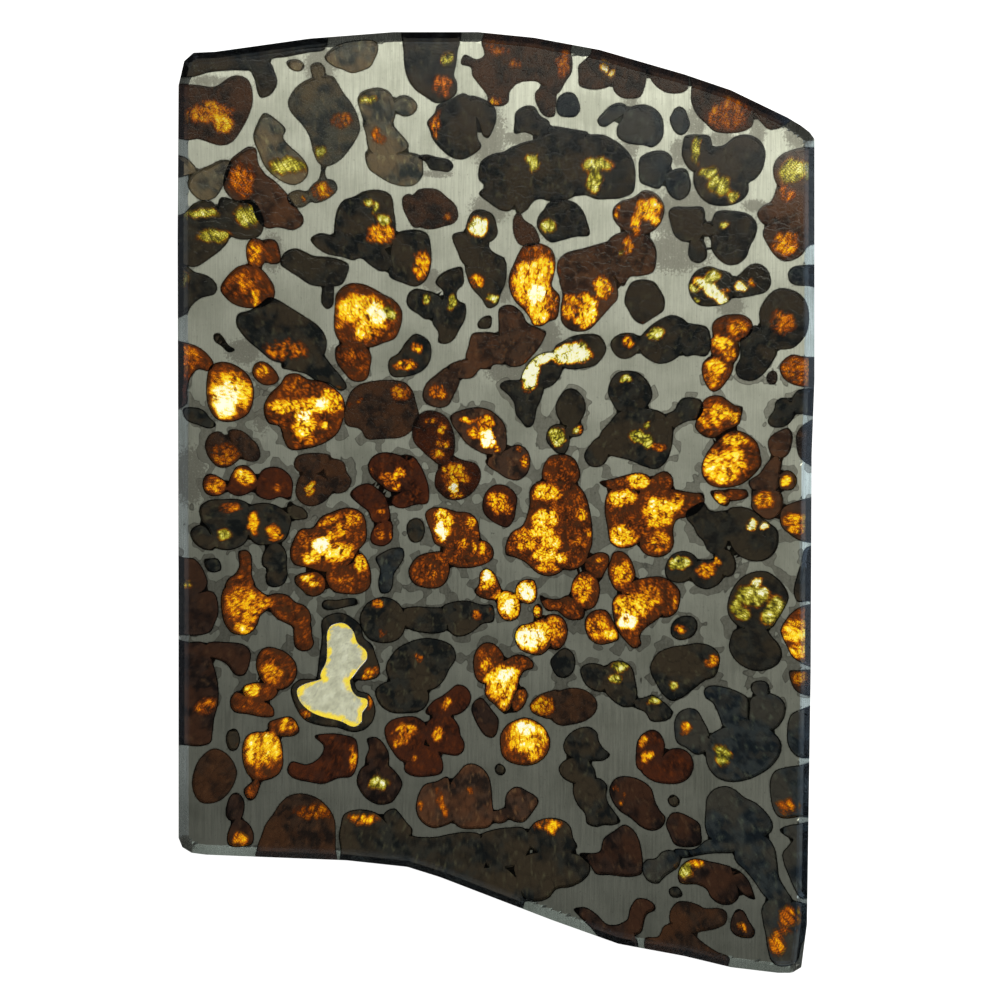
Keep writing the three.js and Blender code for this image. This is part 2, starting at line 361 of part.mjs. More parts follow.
    [-5.4, -5.3, -5, -7.6, -5.5, -8.7, -6.4, -9.2, -8.9, -8.6, -9.4, -7.4, -8.9, -6.3, -8.1, -5.6],
  ],
  olivine_low_fire_branch: [
    [-7.6, -22.4, -4.2, -19.4, -2.7, -20.6, -3.8, -22.5, -6.4, -22.9],
    [-7.4, -23.4, -6.2, -22.6, -4.8, -22.8, -3.5, -26.5, -4.2, -27, -6.4, -26.6, -7.7, -25.8],
    [-11.2, -23.2, -8.4, -22.9, -7.4, -23.8, -8.3, -27.6, -10.4, -27.4, -11.3, -26.2, -11.9, -24],
    [-5.7, -27.6, -5.8, -28.8, -7, -29.2, -9.8, -28.6, -8.4, -25.8, -7, -26],
  ],
  olivine_low_flame: [
    [-0.4, -15, 0.9, -16.8, -0.3, -19, -1.3, -19.4, -2.2, -18.8, -2.5, -17, -1.4, -15],
    [3.2, -16.4, 3.9, -17.7, 2.5, -18.8, 1, -22.6, -0.9, -21, -1, -19, 0.2, -17.2, 2.2, -16.2],
    [1.9, -19.8, 3.3, -20.8, 2.8, -21.9, 1.4, -22.3],
  ],
  olivine_low_yellow_round: [
    [0.4, -24.8, 1.1, -23.7, 3.1, -22.9, 5.1, -24, 5.6, -26.4, 3.8, -28, 2.4, -28, 0.6, -27],
  ],
  olivine_low_left_fire: [
    [-25.2, -15.9, -24.4, -15.4, -22.2, -16.1, -21.3, -17.2, -22, -19.6, -23.9, -19.9, -24.9, -19.2,
     -25.6, -17],
    [-27.2, -20.2, -25.8, -19.2, -23.2, -19.8, -24.2, -21.2],
    [-28.3, -20.8, -27.6, -20.1, -24.2, -21.4, -23.7, -22.8, -27.8, -22.4],
  ],
};

// Turns a flat list of x and y values into corners that run counterclockwise.
function corners(values) {
  const points = [];
  for (let i = 0; i < values.length; i += 2) {
    points.push(new THREE.Vector2(values[i], values[i + 1]));
  }
  return THREE.ShapeUtils.area(points) < 0 ? points.reverse() : points;
}

// Moves every corner outward so that each side shifts by the given distance.
function outset(points, distance) {
  return points.map((point, i) => {
    const before = point.clone().sub(points.at(i - 1)).normalize();
    const after = points[(i + 1) % points.length].clone().sub(point).normalize();
    const outward = new THREE.Vector2(before.y + after.y, -before.x - after.x).normalize();
    const squareness = Math.max(0.6, outward.x * before.y - outward.y * before.x);
    return point.clone().addScaledVector(outward, distance / squareness);
  });
}

// Joins outlines of equal corner count, given from the lowest height to the highest, into one solid.
function loft(outlines, heights) {
  const count = outlines[0].length;
  const positions = [];
  outlines.forEach((outline, level) => {
    outline.forEach((point) => positions.push(point.x, point.y, heights[level]));
  });
  const triangles = [];
  for (let level = 0; level < outlines.length - 1; level += 1) {
    for (let i = 0; i < count; i += 1) {
      const a = level * count + i;
      const b = level * count + ((i + 1) % count);
      triangles.push(a, b, b + count, a, b + count, a + count);
    }
  }
  const last = (outlines.length - 1) * count;
  THREE.ShapeUtils.triangulateShape(outlines[0], []).forEach(([a, b, c]) => triangles.push(c, b, a));
  THREE.ShapeUtils.triangulateShape(outlines.at(-1), []).forEach(([a, b, c]) => {
    triangles.push(a + last, b + last, c + last);
  });
  return new wasm.Manifold(new wasm.Mesh({
    numProp: 3,
    vertProperties: new Float32Array(positions),
    triVerts: new Uint32Array(triangles),
  }));
}

// One crystal grain, or with a margin the pocket it sits in, running past both faces.
function grain(values, margin) {
  const outline = outset(corners(values), margin + OVERLAP);
  return loft([outline, outline], [-REACH, SLICE_THICKNESS + REACH]);
}

function joined(outlines, margin) {
  return outlines.map((values) => grain(values, margin)).reduce((sum, next) => sum.add(next));
}

// The blank slice with its polished bevel on both faces.
function bevelledPlate() {
  const rim = corners(SLICE_OUTLINE);
  const face = outset(rim, -BEVEL_RUN);
  const heights = [0, BEVEL_DROP, SLICE_THICKNESS - BEVEL_DROP, SLICE_THICKNESS];
  return loft([face, rim, rim, face], heights);
}

function named(name, solid, colour, metalness, roughness) {
  const source = solid.getMesh();
  let geometry = new THREE.BufferGeometry();
  geometry.setAttribute('position', new THREE.BufferAttribute(source.vertProperties, source.numProp));
  geometry.setIndex(new THREE.BufferAttribute(source.triVerts, 1));
  geometry = mergeVertices(geometry, 0.001);
  const material = new THREE.MeshStandardMaterial({ color: colour, metalness, roughness });
  const mesh = new THREE.Mesh(geometry, material);
  mesh.name = name;
  return mesh;
}

const slice = new THREE.Group();
slice.name = 'pallasite_slice';

const plate = bevelledPlate();
let pockets = joined(WINDOW_GRAINS, SEAM);
slice.add(named('olivine_window_clear', joined(WINDOW_GRAINS, 0).intersect(plate), CLEAR_COLOUR, 0, 0.1));

// Each crystal keeps clear of the pockets of those before it, and adds its own.
function addCrystals(crystals, colour) {
  Object.entries(crystals).forEach(([name, outlines]) => {
    const solid = joined(outlines, 0).intersect(plate).subtract(pockets);
    slice.add(named(name, solid, colour, 0, 0.15));
    pockets = pockets.add(joined(outlines, SEAM));
  });
}

addCrystals(DARK_CRYSTALS, DARK_COLOUR);
addCrystals(BROWN_CRYSTALS, BROWN_COLOUR);
addCrystals(AMBER_CRYSTALS, AMBER_COLOUR);

slice.add(named('metal_matrix', plate.subtract(pockets), METAL_COLOUR, 1, 0.3));

slice.children.forEach((mesh) => mesh.geometry.translate(CENTRE_SHIFT.x, CENTRE_SHIFT.y, 0));

export default slice;
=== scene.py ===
import json

import bpy
import numpy as np
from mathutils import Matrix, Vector


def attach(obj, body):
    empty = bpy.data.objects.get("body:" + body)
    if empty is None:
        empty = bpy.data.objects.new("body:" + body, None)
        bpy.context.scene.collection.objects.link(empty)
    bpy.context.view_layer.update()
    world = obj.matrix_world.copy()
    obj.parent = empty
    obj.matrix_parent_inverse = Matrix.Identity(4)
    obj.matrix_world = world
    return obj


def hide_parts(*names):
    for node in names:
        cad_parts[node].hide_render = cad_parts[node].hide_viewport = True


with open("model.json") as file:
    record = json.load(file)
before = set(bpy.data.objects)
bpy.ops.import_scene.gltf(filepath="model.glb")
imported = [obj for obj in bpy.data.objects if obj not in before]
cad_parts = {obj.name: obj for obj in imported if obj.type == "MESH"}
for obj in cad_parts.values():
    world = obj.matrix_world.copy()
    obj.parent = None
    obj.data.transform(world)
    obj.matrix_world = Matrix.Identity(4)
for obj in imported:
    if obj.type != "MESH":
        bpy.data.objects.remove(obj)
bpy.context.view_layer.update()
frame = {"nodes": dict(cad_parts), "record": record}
print("frame loaded,", len(frame["nodes"]), "solids")

# Lengths below are in millimetres, as the stone was measured, and mm turns them into Blender's metres.
mm = 0.001

slabLook = {
    "thickness": 3.0,
    "bevelRun": 1.15,  # how far the polished bevel runs in from the rim
    "bevelDrop": 0.7,
    "bevelSnap": 0.14,  # grid points this close to the bevel's inner line are moved onto it
    "shift": (0.05, 0.05),  # moves what was measured so that the slice stands over the origin
}

# The whole outline, clockwise from the left side, as x and y in turn.
slabOutline = [
    -33.9, 44.4, -33.3, 47, -32.3, 47.9, -30, 48, -20, 49.4, -11, 50.1, -2, 50.1, 4, 49.5, 11, 48.2,
    20, 45.6, 25, 43.9, 31, 41, 32.5, 40.1, 33.4, 39.4, 33.9, 38.7, 33.9, 13, 33.6, 5, 33.5, -18,
    33.1, -45, 32.5, -49.6, 31.5, -50.2, 30, -50.2, 25, -49.6, 20, -48.4, 13, -47.1, 6, -44.6,
    0, -42.3, -6, -40, -9.5, -38.9, -16, -38.2, -31, -37.6, -32.5, -37.4, -33.5, -36.8, -33.9, -35.8,
    -33.9, -10.4, -34, 28.2,
]

# Outlines of the crystal grains, each name a clump of grains that grew together.
grainOutlines = {
    "corner_top_left": [
    [-34.6,45.7, -34.4,49, -29,49.6, -23,50, -18.3,50.4, -18.2,48.2, -20,47.8, -22.5,47.3, -23.9,47.1, -24.3,46.4,
     -26,45.9, -28,45.9, -30.5,45.7, -32.5,45.2],
    [-26.2,46.3, -24.9,47.2, -24,46.7, -23.6,45.8, -23.3,44.8, -23.5,44, -24.2,43.2, -25.1,43, -25.5,43.8,
     -25.7,44.8],
    ],
    "left_brown": [
    [-34.6,44.3, -32,44.4, -30,44.2, -28.2,45.3, -27,45.3, -26.2,44.6, -25.9,42.8, -26.3,41.2, -27,39.8, -28.1,38.3,
     -29.3,37.9, -30.5,38.2, -31.7,38.6, -33,38.5, -34.6,39.2],
    ],
    "left_grey": [
    [-32.9,33.9, -32.2,35.1, -30.6,35.8, -29.3,36.4, -28.2,36.2, -28.6,34.6, -29.2,33.4, -29.9,32.4, -31.2,32,
     -32.3,32.7],
    [-34.6,36.9, -33.3,36.8, -32.3,36, -31.8,35.2, -32.6,34.8, -34.6,34.7],
    ],
    "wedge_grey": [
    [-24.7,41.4, -23.3,40.6, -22.4,39.6, -22.7,38.8, -21.9,37.8, -20.7,36.7, -20,35.4, -20.4,34.3, -21.6,33.7,
     -23.2,34.3, -24.6,35.6, -25.4,37.4, -25.9,38.8, -25.5,40.2],
    ],
    "red_brown_left": [
    [-28.3,36.4, -27.4,37.2, -26.4,37.8, -25.6,37.6, -25.3,36, -24.4,34.5, -24.3,33, -25.8,31.9, -27.5,31.9,
     -28.7,32.8, -29.1,34],
    [-25.3,35, -23.9,34.4, -22.6,33.2, -21.9,32.3, -21,31, -20.5,30.2, -20.7,29.4, -21.7,28.9, -23.2,29.2,
     -24.4,29.1, -25.6,30.2, -26,32.2],
    ],
    "left_lit_yellow": [
    [-29.3,32.4, -27.6,32.1, -25.9,32.1, -25.1,31, -24.7,29.8, -25.1,28.4, -26.5,27.9, -28.2,28.2, -29.4,29.3,
     -29.7,31],
    [-34.6,30.2, -33.2,30.8, -32.3,31.7, -31.4,32.1, -30.3,32, -29.3,30.8, -28.6,29.8, -28.4,28.1, -29.1,27,
     -30.5,25.9, -32,25, -33.4,25.2, -34.6,25.4],
    ],
    "left_edge_black": [
    [-34.6,25.5, -33.2,25.3, -32.1,24.5, -31,24.2, -30.2,23.7, -29.7,22.9, -30,22.1, -31.4,21.7, -32.4,20.9, -33,20,
     -34.6,19.7],
    ],
    "orange_left_pair": [
    [-26.6,27.3, -26.1,28, -25.2,28, -24.4,27.3, -24.2,26.4, -24.6,25.5, -25.4,24.8, -26.2,25, -26.6,26],
    [-27.6,25, -26.2,25.3, -25,24.8, -24.2,23.9, -23.6,22.8, -23.7,21.6, -24.8,20.8, -26.4,20.6, -27.9,21,
     -28.8,21.7, -29.4,22.6, -29,23.6],
    [-24.8,27.8, -23.6,27.9, -23.1,27, -23,25.5, -24,25.3, -24.8,25.8],
    ],
    "left_black_long": [
    [-27.5,20, -26.3,20.4, -25.3,21, -24.2,21.8, -23.2,21.5, -21.9,20.7, -20.3,19.7, -18.9,18.7, -18.1,17.4,
     -18.2,15.9, -19,15, -20.4,14.6, -22.2,14.7, -23.8,15, -25.2,16.1, -26.7,17.4, -27.7,18.9],
    [-22.4,15.2, -20.5,15.6, -18.6,15.7, -17.4,14.4, -16.3,13.1, -15.9,12.2, -16.6,11.8, -17.9,12.6, -19.2,12.9,
     -20.3,13.6, -21.8,14, -22.9,14.3],
    ],
    "left_orange_small": [
    [-25.8,14.6, -25,15, -24.1,14.6, -23.4,13.8, -23.1,13, -23.7,12.5, -24.6,12.4, -25.5,12.9, -26,13.7],
    ],
    "left_bean": [
    [-30.1,17.8, -29.6,18, -29.1,17.6, -28.5,16.7, -27.8,16.2, -28.5,15.9, -29.3,16.6, -30,17.1],
    ],
    "left_edge_orange": [
    [-34.6,17.1, -33.2,17, -31.9,16.6, -30.9,15.9, -30.1,14.8, -30.6,13.9, -31.7,14.1, -32.5,13.3, -32.9,12,
     -33,10.4, -34.6,10],
    ],
    "left_lit_round": [
    [-30.5,14.4, -29.5,14.9, -28.3,14.8, -27,14.1, -26.2,13.2, -25.8,12, -25.9,10.6, -26.4,9.4, -27.5,8.7,
     -28.9,8.5, -30,9, -30.7,10.3, -30.9,11.8, -30.8,13.3],
    ],
    "left_lit_wide": [
    [-24.8,10, -24.2,11.4, -23,12.6, -22.4,13.5, -21.2,13.7, -20,13.1, -18.6,12.9, -17.2,12.1, -16.3,11.1,
     -16.1,9.9, -16.4,8.4, -17,7.2, -18.4,6.2, -20.4,5.6, -22,5.6, -22.7,6.7, -23.1,8, -24.3,8.4],
    ],
    "top_small_pair": [
    [-22.4,46.8, -21.8,47.1, -20.9,47, -20.4,46.4, -20.7,45.9, -21.3,45.8, -22,46.1],
    ],
    "top_grey_brown": [
    [-19.8,45.1, -18.6,45.4, -17.4,45.3, -17,44.8, -16.3,43.6, -15.4,42.4, -14.8,41.2, -14.5,39.8, -14.8,38.8,
     -15.7,37.4, -16.6,36.4, -17.9,35.7, -18.9,36, -19.5,37.2, -19.9,38.8, -20.6,40, -21.9,41.5, -22.2,42.6,
     -21.6,43.8, -20.9,44.5],
    [-19.8,46.4, -18.9,46.8, -18.2,46.1, -18.4,45.1, -19.4,45],
    [-18.6,36.4, -18,36.6, -18.2,35.1, -18.1,34, -18.9,34, -18.7,35.2],
    [-20,33.2, -19.2,34.1, -18.3,34.4, -17.3,34.2, -16.9,33.4, -17.3,32.7, -18.4,32, -19.4,31.8, -20,32.4],
    [-22.3,32.6, -21.3,33.2, -20.3,33, -19.7,32.3, -20.3,31.5, -21.2,31.3, -22,31.7],
    ],
    "top_grey_dome": [
    [-18.3,47.3, -17,48.6, -14.5,49.2, -12.8,49, -12.6,48, -13,47, -13.4,46.3, -14.2,45.9, -15.4,45.6, -16.4,46,
     -17.3,46.3],
    ],
    "top_dark_column": [
    [-14.8,42.8, -14.4,43.6, -13.4,44, -12.5,44.1, -11.6,43.8, -11,43.1, -10.7,42, -10.8,40.9, -11.2,40.1, -13,40,
     -14.1,40.6, -14.5,41.6],
    [-14.2,40.5, -12.8,40.5, -11.2,40.2, -10.3,39.3, -9.6,38.5, -9.3,37.8, -10.2,37.1, -11.6,36.9, -13,36.9,
     -13.7,37.8, -13.9,39],
    [-13.9,37.3, -12.4,37.2, -10.6,37.2, -9.3,37.2, -8,36.8, -7.8,35.7, -7.9,34.6, -9,33.6, -11,33.8, -12.8,34.8,
     -13.7,35.6],
    [-11.2,42.2, -10.7,43, -9.9,43.3, -9,43, -8.4,42.2, -8.7,41.4, -9.5,41, -10.4,41.2],
    ],
    "top_rainbow": [
    [-9.9,51, -6,51, -3.9,51, -3.8,49.3, -4.1,48, -4.3,46.4, -4.5,45.4, -4.2,44.6, -4.3,43.4, -5.2,42.7, -6.4,42.4,
     -7.6,43.1, -8.6,43.8, -9.4,44.9, -9.8,46.3, -9.9,47.8],
    ],
    "top_brown_large": [
    [-3.8,46.6, -3.4,47.6, -2.1,47.1, -1.3,47.6, -1.6,49, -0.5,51, 3.4,50.6, 3.2,48, 2.8,46, 2.2,44.6, 1.4,43.6,
     1.3,42.6, 0.6,42.1, -0.9,42.3, -1,43.2, -1.8,44.3, -2.6,45.4, -2.7,46.2],
    [2.4,50.8, 6,50.2, 8,49.3, 7.9,48, 8.1,46.9, 8,45.7, 7.3,44.6, 6.8,43.7, 6.2,43.3, 5.7,43.9, 4.9,44.2, 4.3,44.7,
     2.8,44.7, 2,44.5, 1.9,47],
    [4.2,43.7, 5.2,44.3, 6.2,43.9, 6.4,43, 6.3,41.9, 6.2,41.1, 5.6,40.9, 4.9,41.2, 4.4,42, 4.1,42.8],
    ],
    "top_dark_bowl": [
    [-7.4,40.4, -6.6,41.4, -6.3,42.2, -5,42.8, -3.5,43.5, -2.6,42.8, -2.2,41.5, -2,40, -2,38.8, -1.6,37.8, -2.4,37,
     -3.7,36.4, -4.9,36.7, -6,37.6, -6.8,38.6, -7.1,39.5],
    [-2.8,43.2, -1.2,42.8, -0.2,42, 0,40.8, -0.4,39.5, -0.9,38.7, -1.5,39, -1.9,40.3, -2.5,41.6],
    ],
    "top_round_black": [
    [6.7,43.2, 7.4,43.6, 8.2,43.5, 8.7,42.8, 8.9,41.7, 8.4,41, 7.6,40.9, 6.7,41.1, 6.35,41.7, 6.4,42.6],
    ],
    "top_edge_brown": [
    [8.7,46.4, 9.3,47, 10,47.7, 10.5,49.4, 12.6,49, 12.9,46.5, 12.7,45, 12,44.2, 11,43.9, 9.8,43.9, 8.8,44.3,
     8.7,45.3],
    [11,48.5, 14,48.4, 15.9,48, 16,45.6, 15.8,44.2, 15.3,43.1, 14.4,42.9, 13.3,43, 12.5,43.7, 12.3,44.7, 11.9,45.8],
    [15.8,48.2, 16.3,45.2, 17,44.2, 18.2,43.5, 19.6,43.5, 20.4,44, 20.5,45.1, 20.5,47, 18,47.8],
    ],
    "black_centre_top": [
    [-1.9,35.5, -1.6,36.3, -0.5,37, 0.8,37.3, 2,37.9, 2.8,36.5, 3,34.5, 2.5,32.5, 1.5,31, 0.5,31, -0.9,31.9,
     -1.9,32.8, -1.3,33.6, -1.9,34.3],
    [1.2,37.1, 2.4,38.1, 4.2,38.7, 4.5,39.6, 5.8,40, 8,39.7, 9.8,39.2, 8.8,37, 8.5,34.5, 8.3,32.6, 6.6,31.9, 5.5,32,
     4.8,32.2, 4,32, 3.2,31, 2.2,30.6, 1.8,32.5, 1.8,35],
    [8.1,37.5, 9.2,38.9, 11.2,39.1, 12.4,38.6, 13.3,38, 14.2,37, 14.7,35.8, 14.8,34.2, 14.5,32.9, 13.2,32.3,
     12,32.2, 10.6,32.2, 9.5,32.6, 8.2,32.6, 8,34, 7.8,35.8],
    [2,41.4, 2.9,42.1, 4,42.1, 4.7,41.1, 5.6,40.5, 5.6,39.5, 4.4,38.9, 3,39.3, 1.9,39.2, 1.9,40.3],
    ],
    "top_right_oval": [
    [10.7,40.6, 11.2,41.3, 12,42.1, 12.9,42.5, 13.7,42.3, 13.9,41.8, 13.3,41, 12.4,40.4, 11.6,39.9, 11,40],
    [13.5,41.6, 14.4,42.1, 15.7,42.3, 16.8,41.9, 17.6,41, 17.8,39.8, 17.6,38.6, 16.6,37.7, 15.8,37.9, 14.8,38,
     13.8,38.2, 12.9,38.8, 12.8,39.8, 13.3,40.8],
    ],
    "top_right_black_pair": [
    [15.2,36.5, 15.9,37.1, 17,37.4, 18,37.3, 18.7,36.6, 18.6,35.8, 18.3,34.9, 17.8,33.9, 17.2,33.3, 16.1,33.6,
     15.3,34, 15.1,35.2],
    [18.5,35.2, 19.3,35.5, 20.2,35.4, 20.6,34.4, 20.7,33.6, 20.4,32.7, 19.6,32.1, 18.8,32.3, 18.2,33, 17.9,34,
     18,34.8],
    ],
    "top_right_small": [
    [18.9,41.8, 19.5,42.1, 20.1,41.7, 20.4,40.9, 20.6,40.2, 20.2,39.3, 19.6,39, 19,39.3, 18.6,40, 18.4,40.8,
     18.7,41.4],
    ],
    "top_right_red": [
    [20.8,47, 20.7,44, 20.7,42.6, 21.3,41.2, 22.3,40.2, 23.2,39.4, 24.6,39.2, 26.2,39.4, 27.2,40, 27.4,41.2,
     27.3,42.2, 28.2,44, 24.5,46],
    [27.4,44.6, 27.2,41.6, 28.2,40.3, 29,39.6, 30.2,39.8, 31.2,40.5, 32.6,41.8],
    ],
    "right_black_upper": [
    [20,38.9, 20.6,39.1, 21.6,39.1, 22.6,39, 22.9,38.3, 23,37.3, 22.7,36.2, 21.8,35.2, 20.9,35.1, 20.1,35.9,
     19.7,37, 19.8,38.1],
    [22.8,37.6, 24.2,38, 25.4,38.9, 26.8,39.1, 28,38.5, 28.6,37.4, 28.5,36, 28.1,35, 27.3,34.2, 26,33.8, 24.4,35,
     22.6,35.9],
    [21.1,35.3, 22.5,36.2, 24.2,36.4, 25.6,36, 26.6,34.6, 26.8,33, 26,32, 24.6,31.5, 22.9,31.6, 21.8,32.3,
     21.1,33.4, 20.9,34.4],
    ],
    "right_lit_edge": [
    [29.4,35.3, 29.6,36.2, 30.2,36.9, 31.2,37.4, 32.3,37.7, 33.4,37.8, 34.6,37.6, 34.6,33.9, 33,33.8, 32,33.4,
     31,33.4, 30.2,33.4, 29.6,34.2],
    [29.9,33.6, 31.2,34, 32.4,34, 33.2,34.6, 34.6,35, 34.6,28, 32.6,28.4, 31,29.2, 29.6,30.2, 29,31.4, 29.5,32.6],
    [28.3,28.6, 28.9,27.2, 29.6,26.2, 30.5,25.6, 31.5,25.7, 32.4,26.2, 33.2,27.2, 34.6,27.8, 34.6,29.6, 33,29.8,
     31.6,29.9, 30.2,30, 28.9,29.7],
    [27.7,30.6, 28.1,31.3, 28.9,31.8, 29.7,31.6, 29.8,30.4, 29.2,29.4, 28.3,29.6],
    ],
    "right_black_dome": [
    [22.8,27.9, 22.9,26.8, 23.6,25.8, 24.6,25.2, 25.7,25.3, 26.6,26.1, 27,27.2, 27.6,28.4, 27.7,29.6, 26.9,30.6,
     25.2,31, 23.4,30.9, 22.9,29.8],
    [18.3,30.9, 18.9,31.4, 20.4,31.4, 21.9,31.4, 22.2,30.6, 22.1,29.4, 22,28.2, 21,27.8, 19.8,27.7, 18.9,28.4,
     18.5,29.6],
    [21.8,29.6, 23.1,29.8, 23.1,28.4, 21.9,28.3],
    [20.4,26.9, 20.7,28, 21.9,28, 22.4,26.7, 22.3,25.9, 21.6,25.4, 20.8,25.6, 20.4,26.2],
    ],
    "centre_lit_orange": [
    [14.8,32.6, 15.8,33.2, 17,32.8, 17.8,31.7, 17.8,30.5, 17.2,29.3, 16.3,28.6, 15.2,28.4, 14,28.6, 13,29.3,
     12.4,30.2, 12.4,31.2, 13.2,32, 14.2,32.3],
    [12,28, 14,28.9, 15.8,28.6, 16.9,27.2, 17,25.5, 16.6,24.4, 15.2,24, 14.2,23.9, 13.5,22.9, 13,23.3, 12.2,24.5,
     11.9,26.4],
    [6.5,25.6, 7.4,26.5, 9.2,27, 11,27.5, 12.6,27.8, 13.3,26, 13,24.2, 11,23.7, 9,23.2, 7.2,23.3, 6.5,24.2],
    [6.7,23.8, 8,24, 9.5,24, 11,24.2, 12.6,24, 12.9,22.8, 12.9,21.6, 12.3,20.9, 11.4,19.9, 10.6,19, 9.8,18.3,
     8.6,18.1, 7.6,18.4, 6.9,19.2, 6.8,20.6, 7,22],
    ],
    "centre_yellow": [
    [2.4,26.6, 3,27.4, 4.2,27.6, 5.5,27.2, 6.1,26.5, 6.3,25.3, 6.1,24, 5.9,23, 6.7,22, 6.7,20.8, 6.4,19.5, 5.6,19.2,
     4.8,18.7, 3.9,18.8, 3.5,19.6, 2.9,20.4, 2,21.3, 1.4,22.5, 1.3,24, 1.8,25.3],
    ],
    "centre_olive": [
    [-4.7,28.4, -3,28.8, -1,28.4, -0.7,27, 0.2,26.3, 0.9,25.9, 0,24.9, -2,24.8, -3.5,25.3, -4.2,26.7],
    [-3.3,25.2, -1.8,25.9, 0.2,26.3, 1,25.6, 1.1,24.4, 0.9,23.1, 0.5,22.2, 0.1,21, -0.9,20.6, -1.6,21.6, -2.6,22.7,
     -3.1,23.8],
    [-3,30.2, -2.4,31, -1.4,31.1, -0.4,30.6, 0,29.6, 0.1,28.4, -0.8,27.6, -2.6,27.8, -3.3,28.6],
    ],
    "centre_green_black": [
    [-6.5,23.3, -6,24.2, -4.9,24.8, -3.7,25, -3.5,24.2, -3.5,23.2, -4.2,22.4, -4.1,21.5, -3.3,21, -3.3,19.6,
     -4,18.2, -4.6,17.2, -5.4,16.8, -6.2,17, -6.2,18, -6.8,19, -6.8,20.4, -5.8,21.6, -5.7,22.4],
    [-9.3,22.3, -8.6,22.7, -7.4,22.5, -6.4,22.2, -5.5,21.3, -5.3,20.4, -6.3,19.7, -7.5,19.4, -8.4,20, -9.3,20.6,
     -9.6,21.4],
    ],
    "upper_left_black": [
    [-17.3,29, -17,31, -16.3,32.1, -15.2,32.5, -14,33.1, -12.3,33.2, -11.2,32.6, -10.9,31, -10.7,29.5, -10.9,27.5,
     -12.5,26.6, -15,26.6, -17.2,27.2],
    [-19.8,28, -18.8,28.6, -17.4,28.4, -15.5,28.3, -13,27.8, -11.6,26.7, -11,25, -12.2,24.5, -13.5,25.2, -14.4,25.9,
     -15.3,25.7, -16.3,26, -18.1,26.4, -19.2,27.1],
    [-10.9,28.4, -9,29, -7.4,28.6, -6.95,27, -6.95,25.2, -7.5,23.6, -8.6,22.9, -10,23.3, -11.4,24, -11.4,26],
    ],
    "upper_left_brown": [
    [-8.6,33, -7.6,33.4, -6.2,33.2, -5.2,32.4, -4.5,31.8, -4.1,31, -4.1,30.2, -4.6,29.6, -5.6,29.3, -6.8,29,
     -7.8,29.1, -8.4,29.9, -8.7,30.9],
    [-10,32.4, -9.3,32.8, -8.4,32.2, -8.1,30.9, -7.9,29.4, -8.8,29.2, -9.6,30.4, -10,31.4],
    ],
    "upper_left_shard": [
    [-8.4,36.7, -7.5,37, -6.3,36.7, -5.2,36.5, -4.7,36.1, -4.6,35.6, -5.1,35.1, -6,35.2, -7.1,35.4, -7.5,36.1],
    ],
    "left_black_finger": [
    [-23,25.3, -22.6,26.5, -21.4,27, -20.3,26.6, -19.4,26.2, -18,26.1, -16.6,25.8, -15.7,25.2, -15.9,24.1,
     -16.5,23.1, -18.2,22.9, -19.8,23.1, -21.2,24, -22.3,24.7],
    [-18.6,22.4, -18.3,23.1, -17.4,23.1, -17.3,21.8, -17.4,20.9, -18,20.5, -18.6,21.1],
    ],
    "left_lit_fire": [
    [-17.1,22, -16.4,22.9, -15.4,23.3, -14.2,23.2, -13,22.7, -12,22.1, -11,21.6, -10.2,20.7, -10,19.8, -10.2,18.6,
     -10.8,17.4, -12,16.9, -13.5,16.4, -15,16.7, -16.5,16.9, -17.2,18, -17.3,19.5, -17.2,21],
    [-17,16.6, -15.4,17.2, -13.9,16.6, -13.3,15.6, -13.4,14.4, -13.7,13.2, -14.3,12.8, -15.4,12.9, -16.2,13.7,
     -17,14.8, -17.2,15.8],
    ],
    "mid_black_dish": [
    [-9.6,17.1, -8.7,17.9, -7.9,17.7, -7.1,17, -6.9,16, -7.1,14.9, -7.8,14, -8.8,13.5, -9.8,13.3, -11,13.3,
     -11.5,14, -11.4,15.2, -10.5,15.8],
    ],
    "mid_brown_left": [
    [-16.2,9.6, -15.6,11.6, -14.6,12.5, -13,12.9, -11.2,13, -9.7,12.7, -8.9,11.8, -8.5,10.4, -8.2,9, -8.8,7.8,
     -10,6.9, -12.2,6.7, -13.8,6.7, -14.5,7.7, -16,8.2],
    ],
    "mid_brown_small": [
    [-7.5,12.6, -6.4,13.6, -5.2,14.4, -4.2,14, -3.9,12.8, -4.6,11.2, -5.1,10.3, -6,10, -7.4,10.4, -7.9,11.3],
    [-5.2,14.4, -4.2,15, -2.6,15.3, -0.8,15, -0.6,14.1, -1.6,14.2, -2.6,13.2, -3.8,13.1, -4.6,13.3],
    [-2.6,17.9, -1.4,18.1, -0.2,18, 0.8,17.4, 1.2,16, 0.9,14.7, -0.2,14.6, -1.2,14.1, -2.4,14.5, -3.3,15.3, -3,16.6],
    [0.3,20.6, 1.5,21, 2.7,20.2, 3.3,19.1, 4.6,18.5, 5.3,18.1, 5,17.2, 4.4,16.2, 3.5,15.2, 2.7,14.5, 1.4,14.4,
     0.6,15.2, 0.3,17, 0.2,19],
    ],
    "small_ring": [
    [-2,19.1, -1.4,19.7, -0.6,19.8, -0.5,19, -0.7,18.5, -1.6,18.4, -2,18.6],
    ],
    "lit_river": [
    [6.2,16.5, 7.2,17.2, 8.2,17.7, 9.6,17.9, 10.8,17.8, 11.4,17.2, 11.7,16.2, 11.2,15.2, 10.4,14.5, 9.2,14.2,
     7.8,14.1, 6.8,14.4, 6,15],
    [3.1,14.4, 4.1,15.5, 5.4,16, 6.6,15.8, 7.1,14.5, 6.7,13.2, 5.8,12.3, 4.6,12, 3.2,12.1, 2.6,13.1],
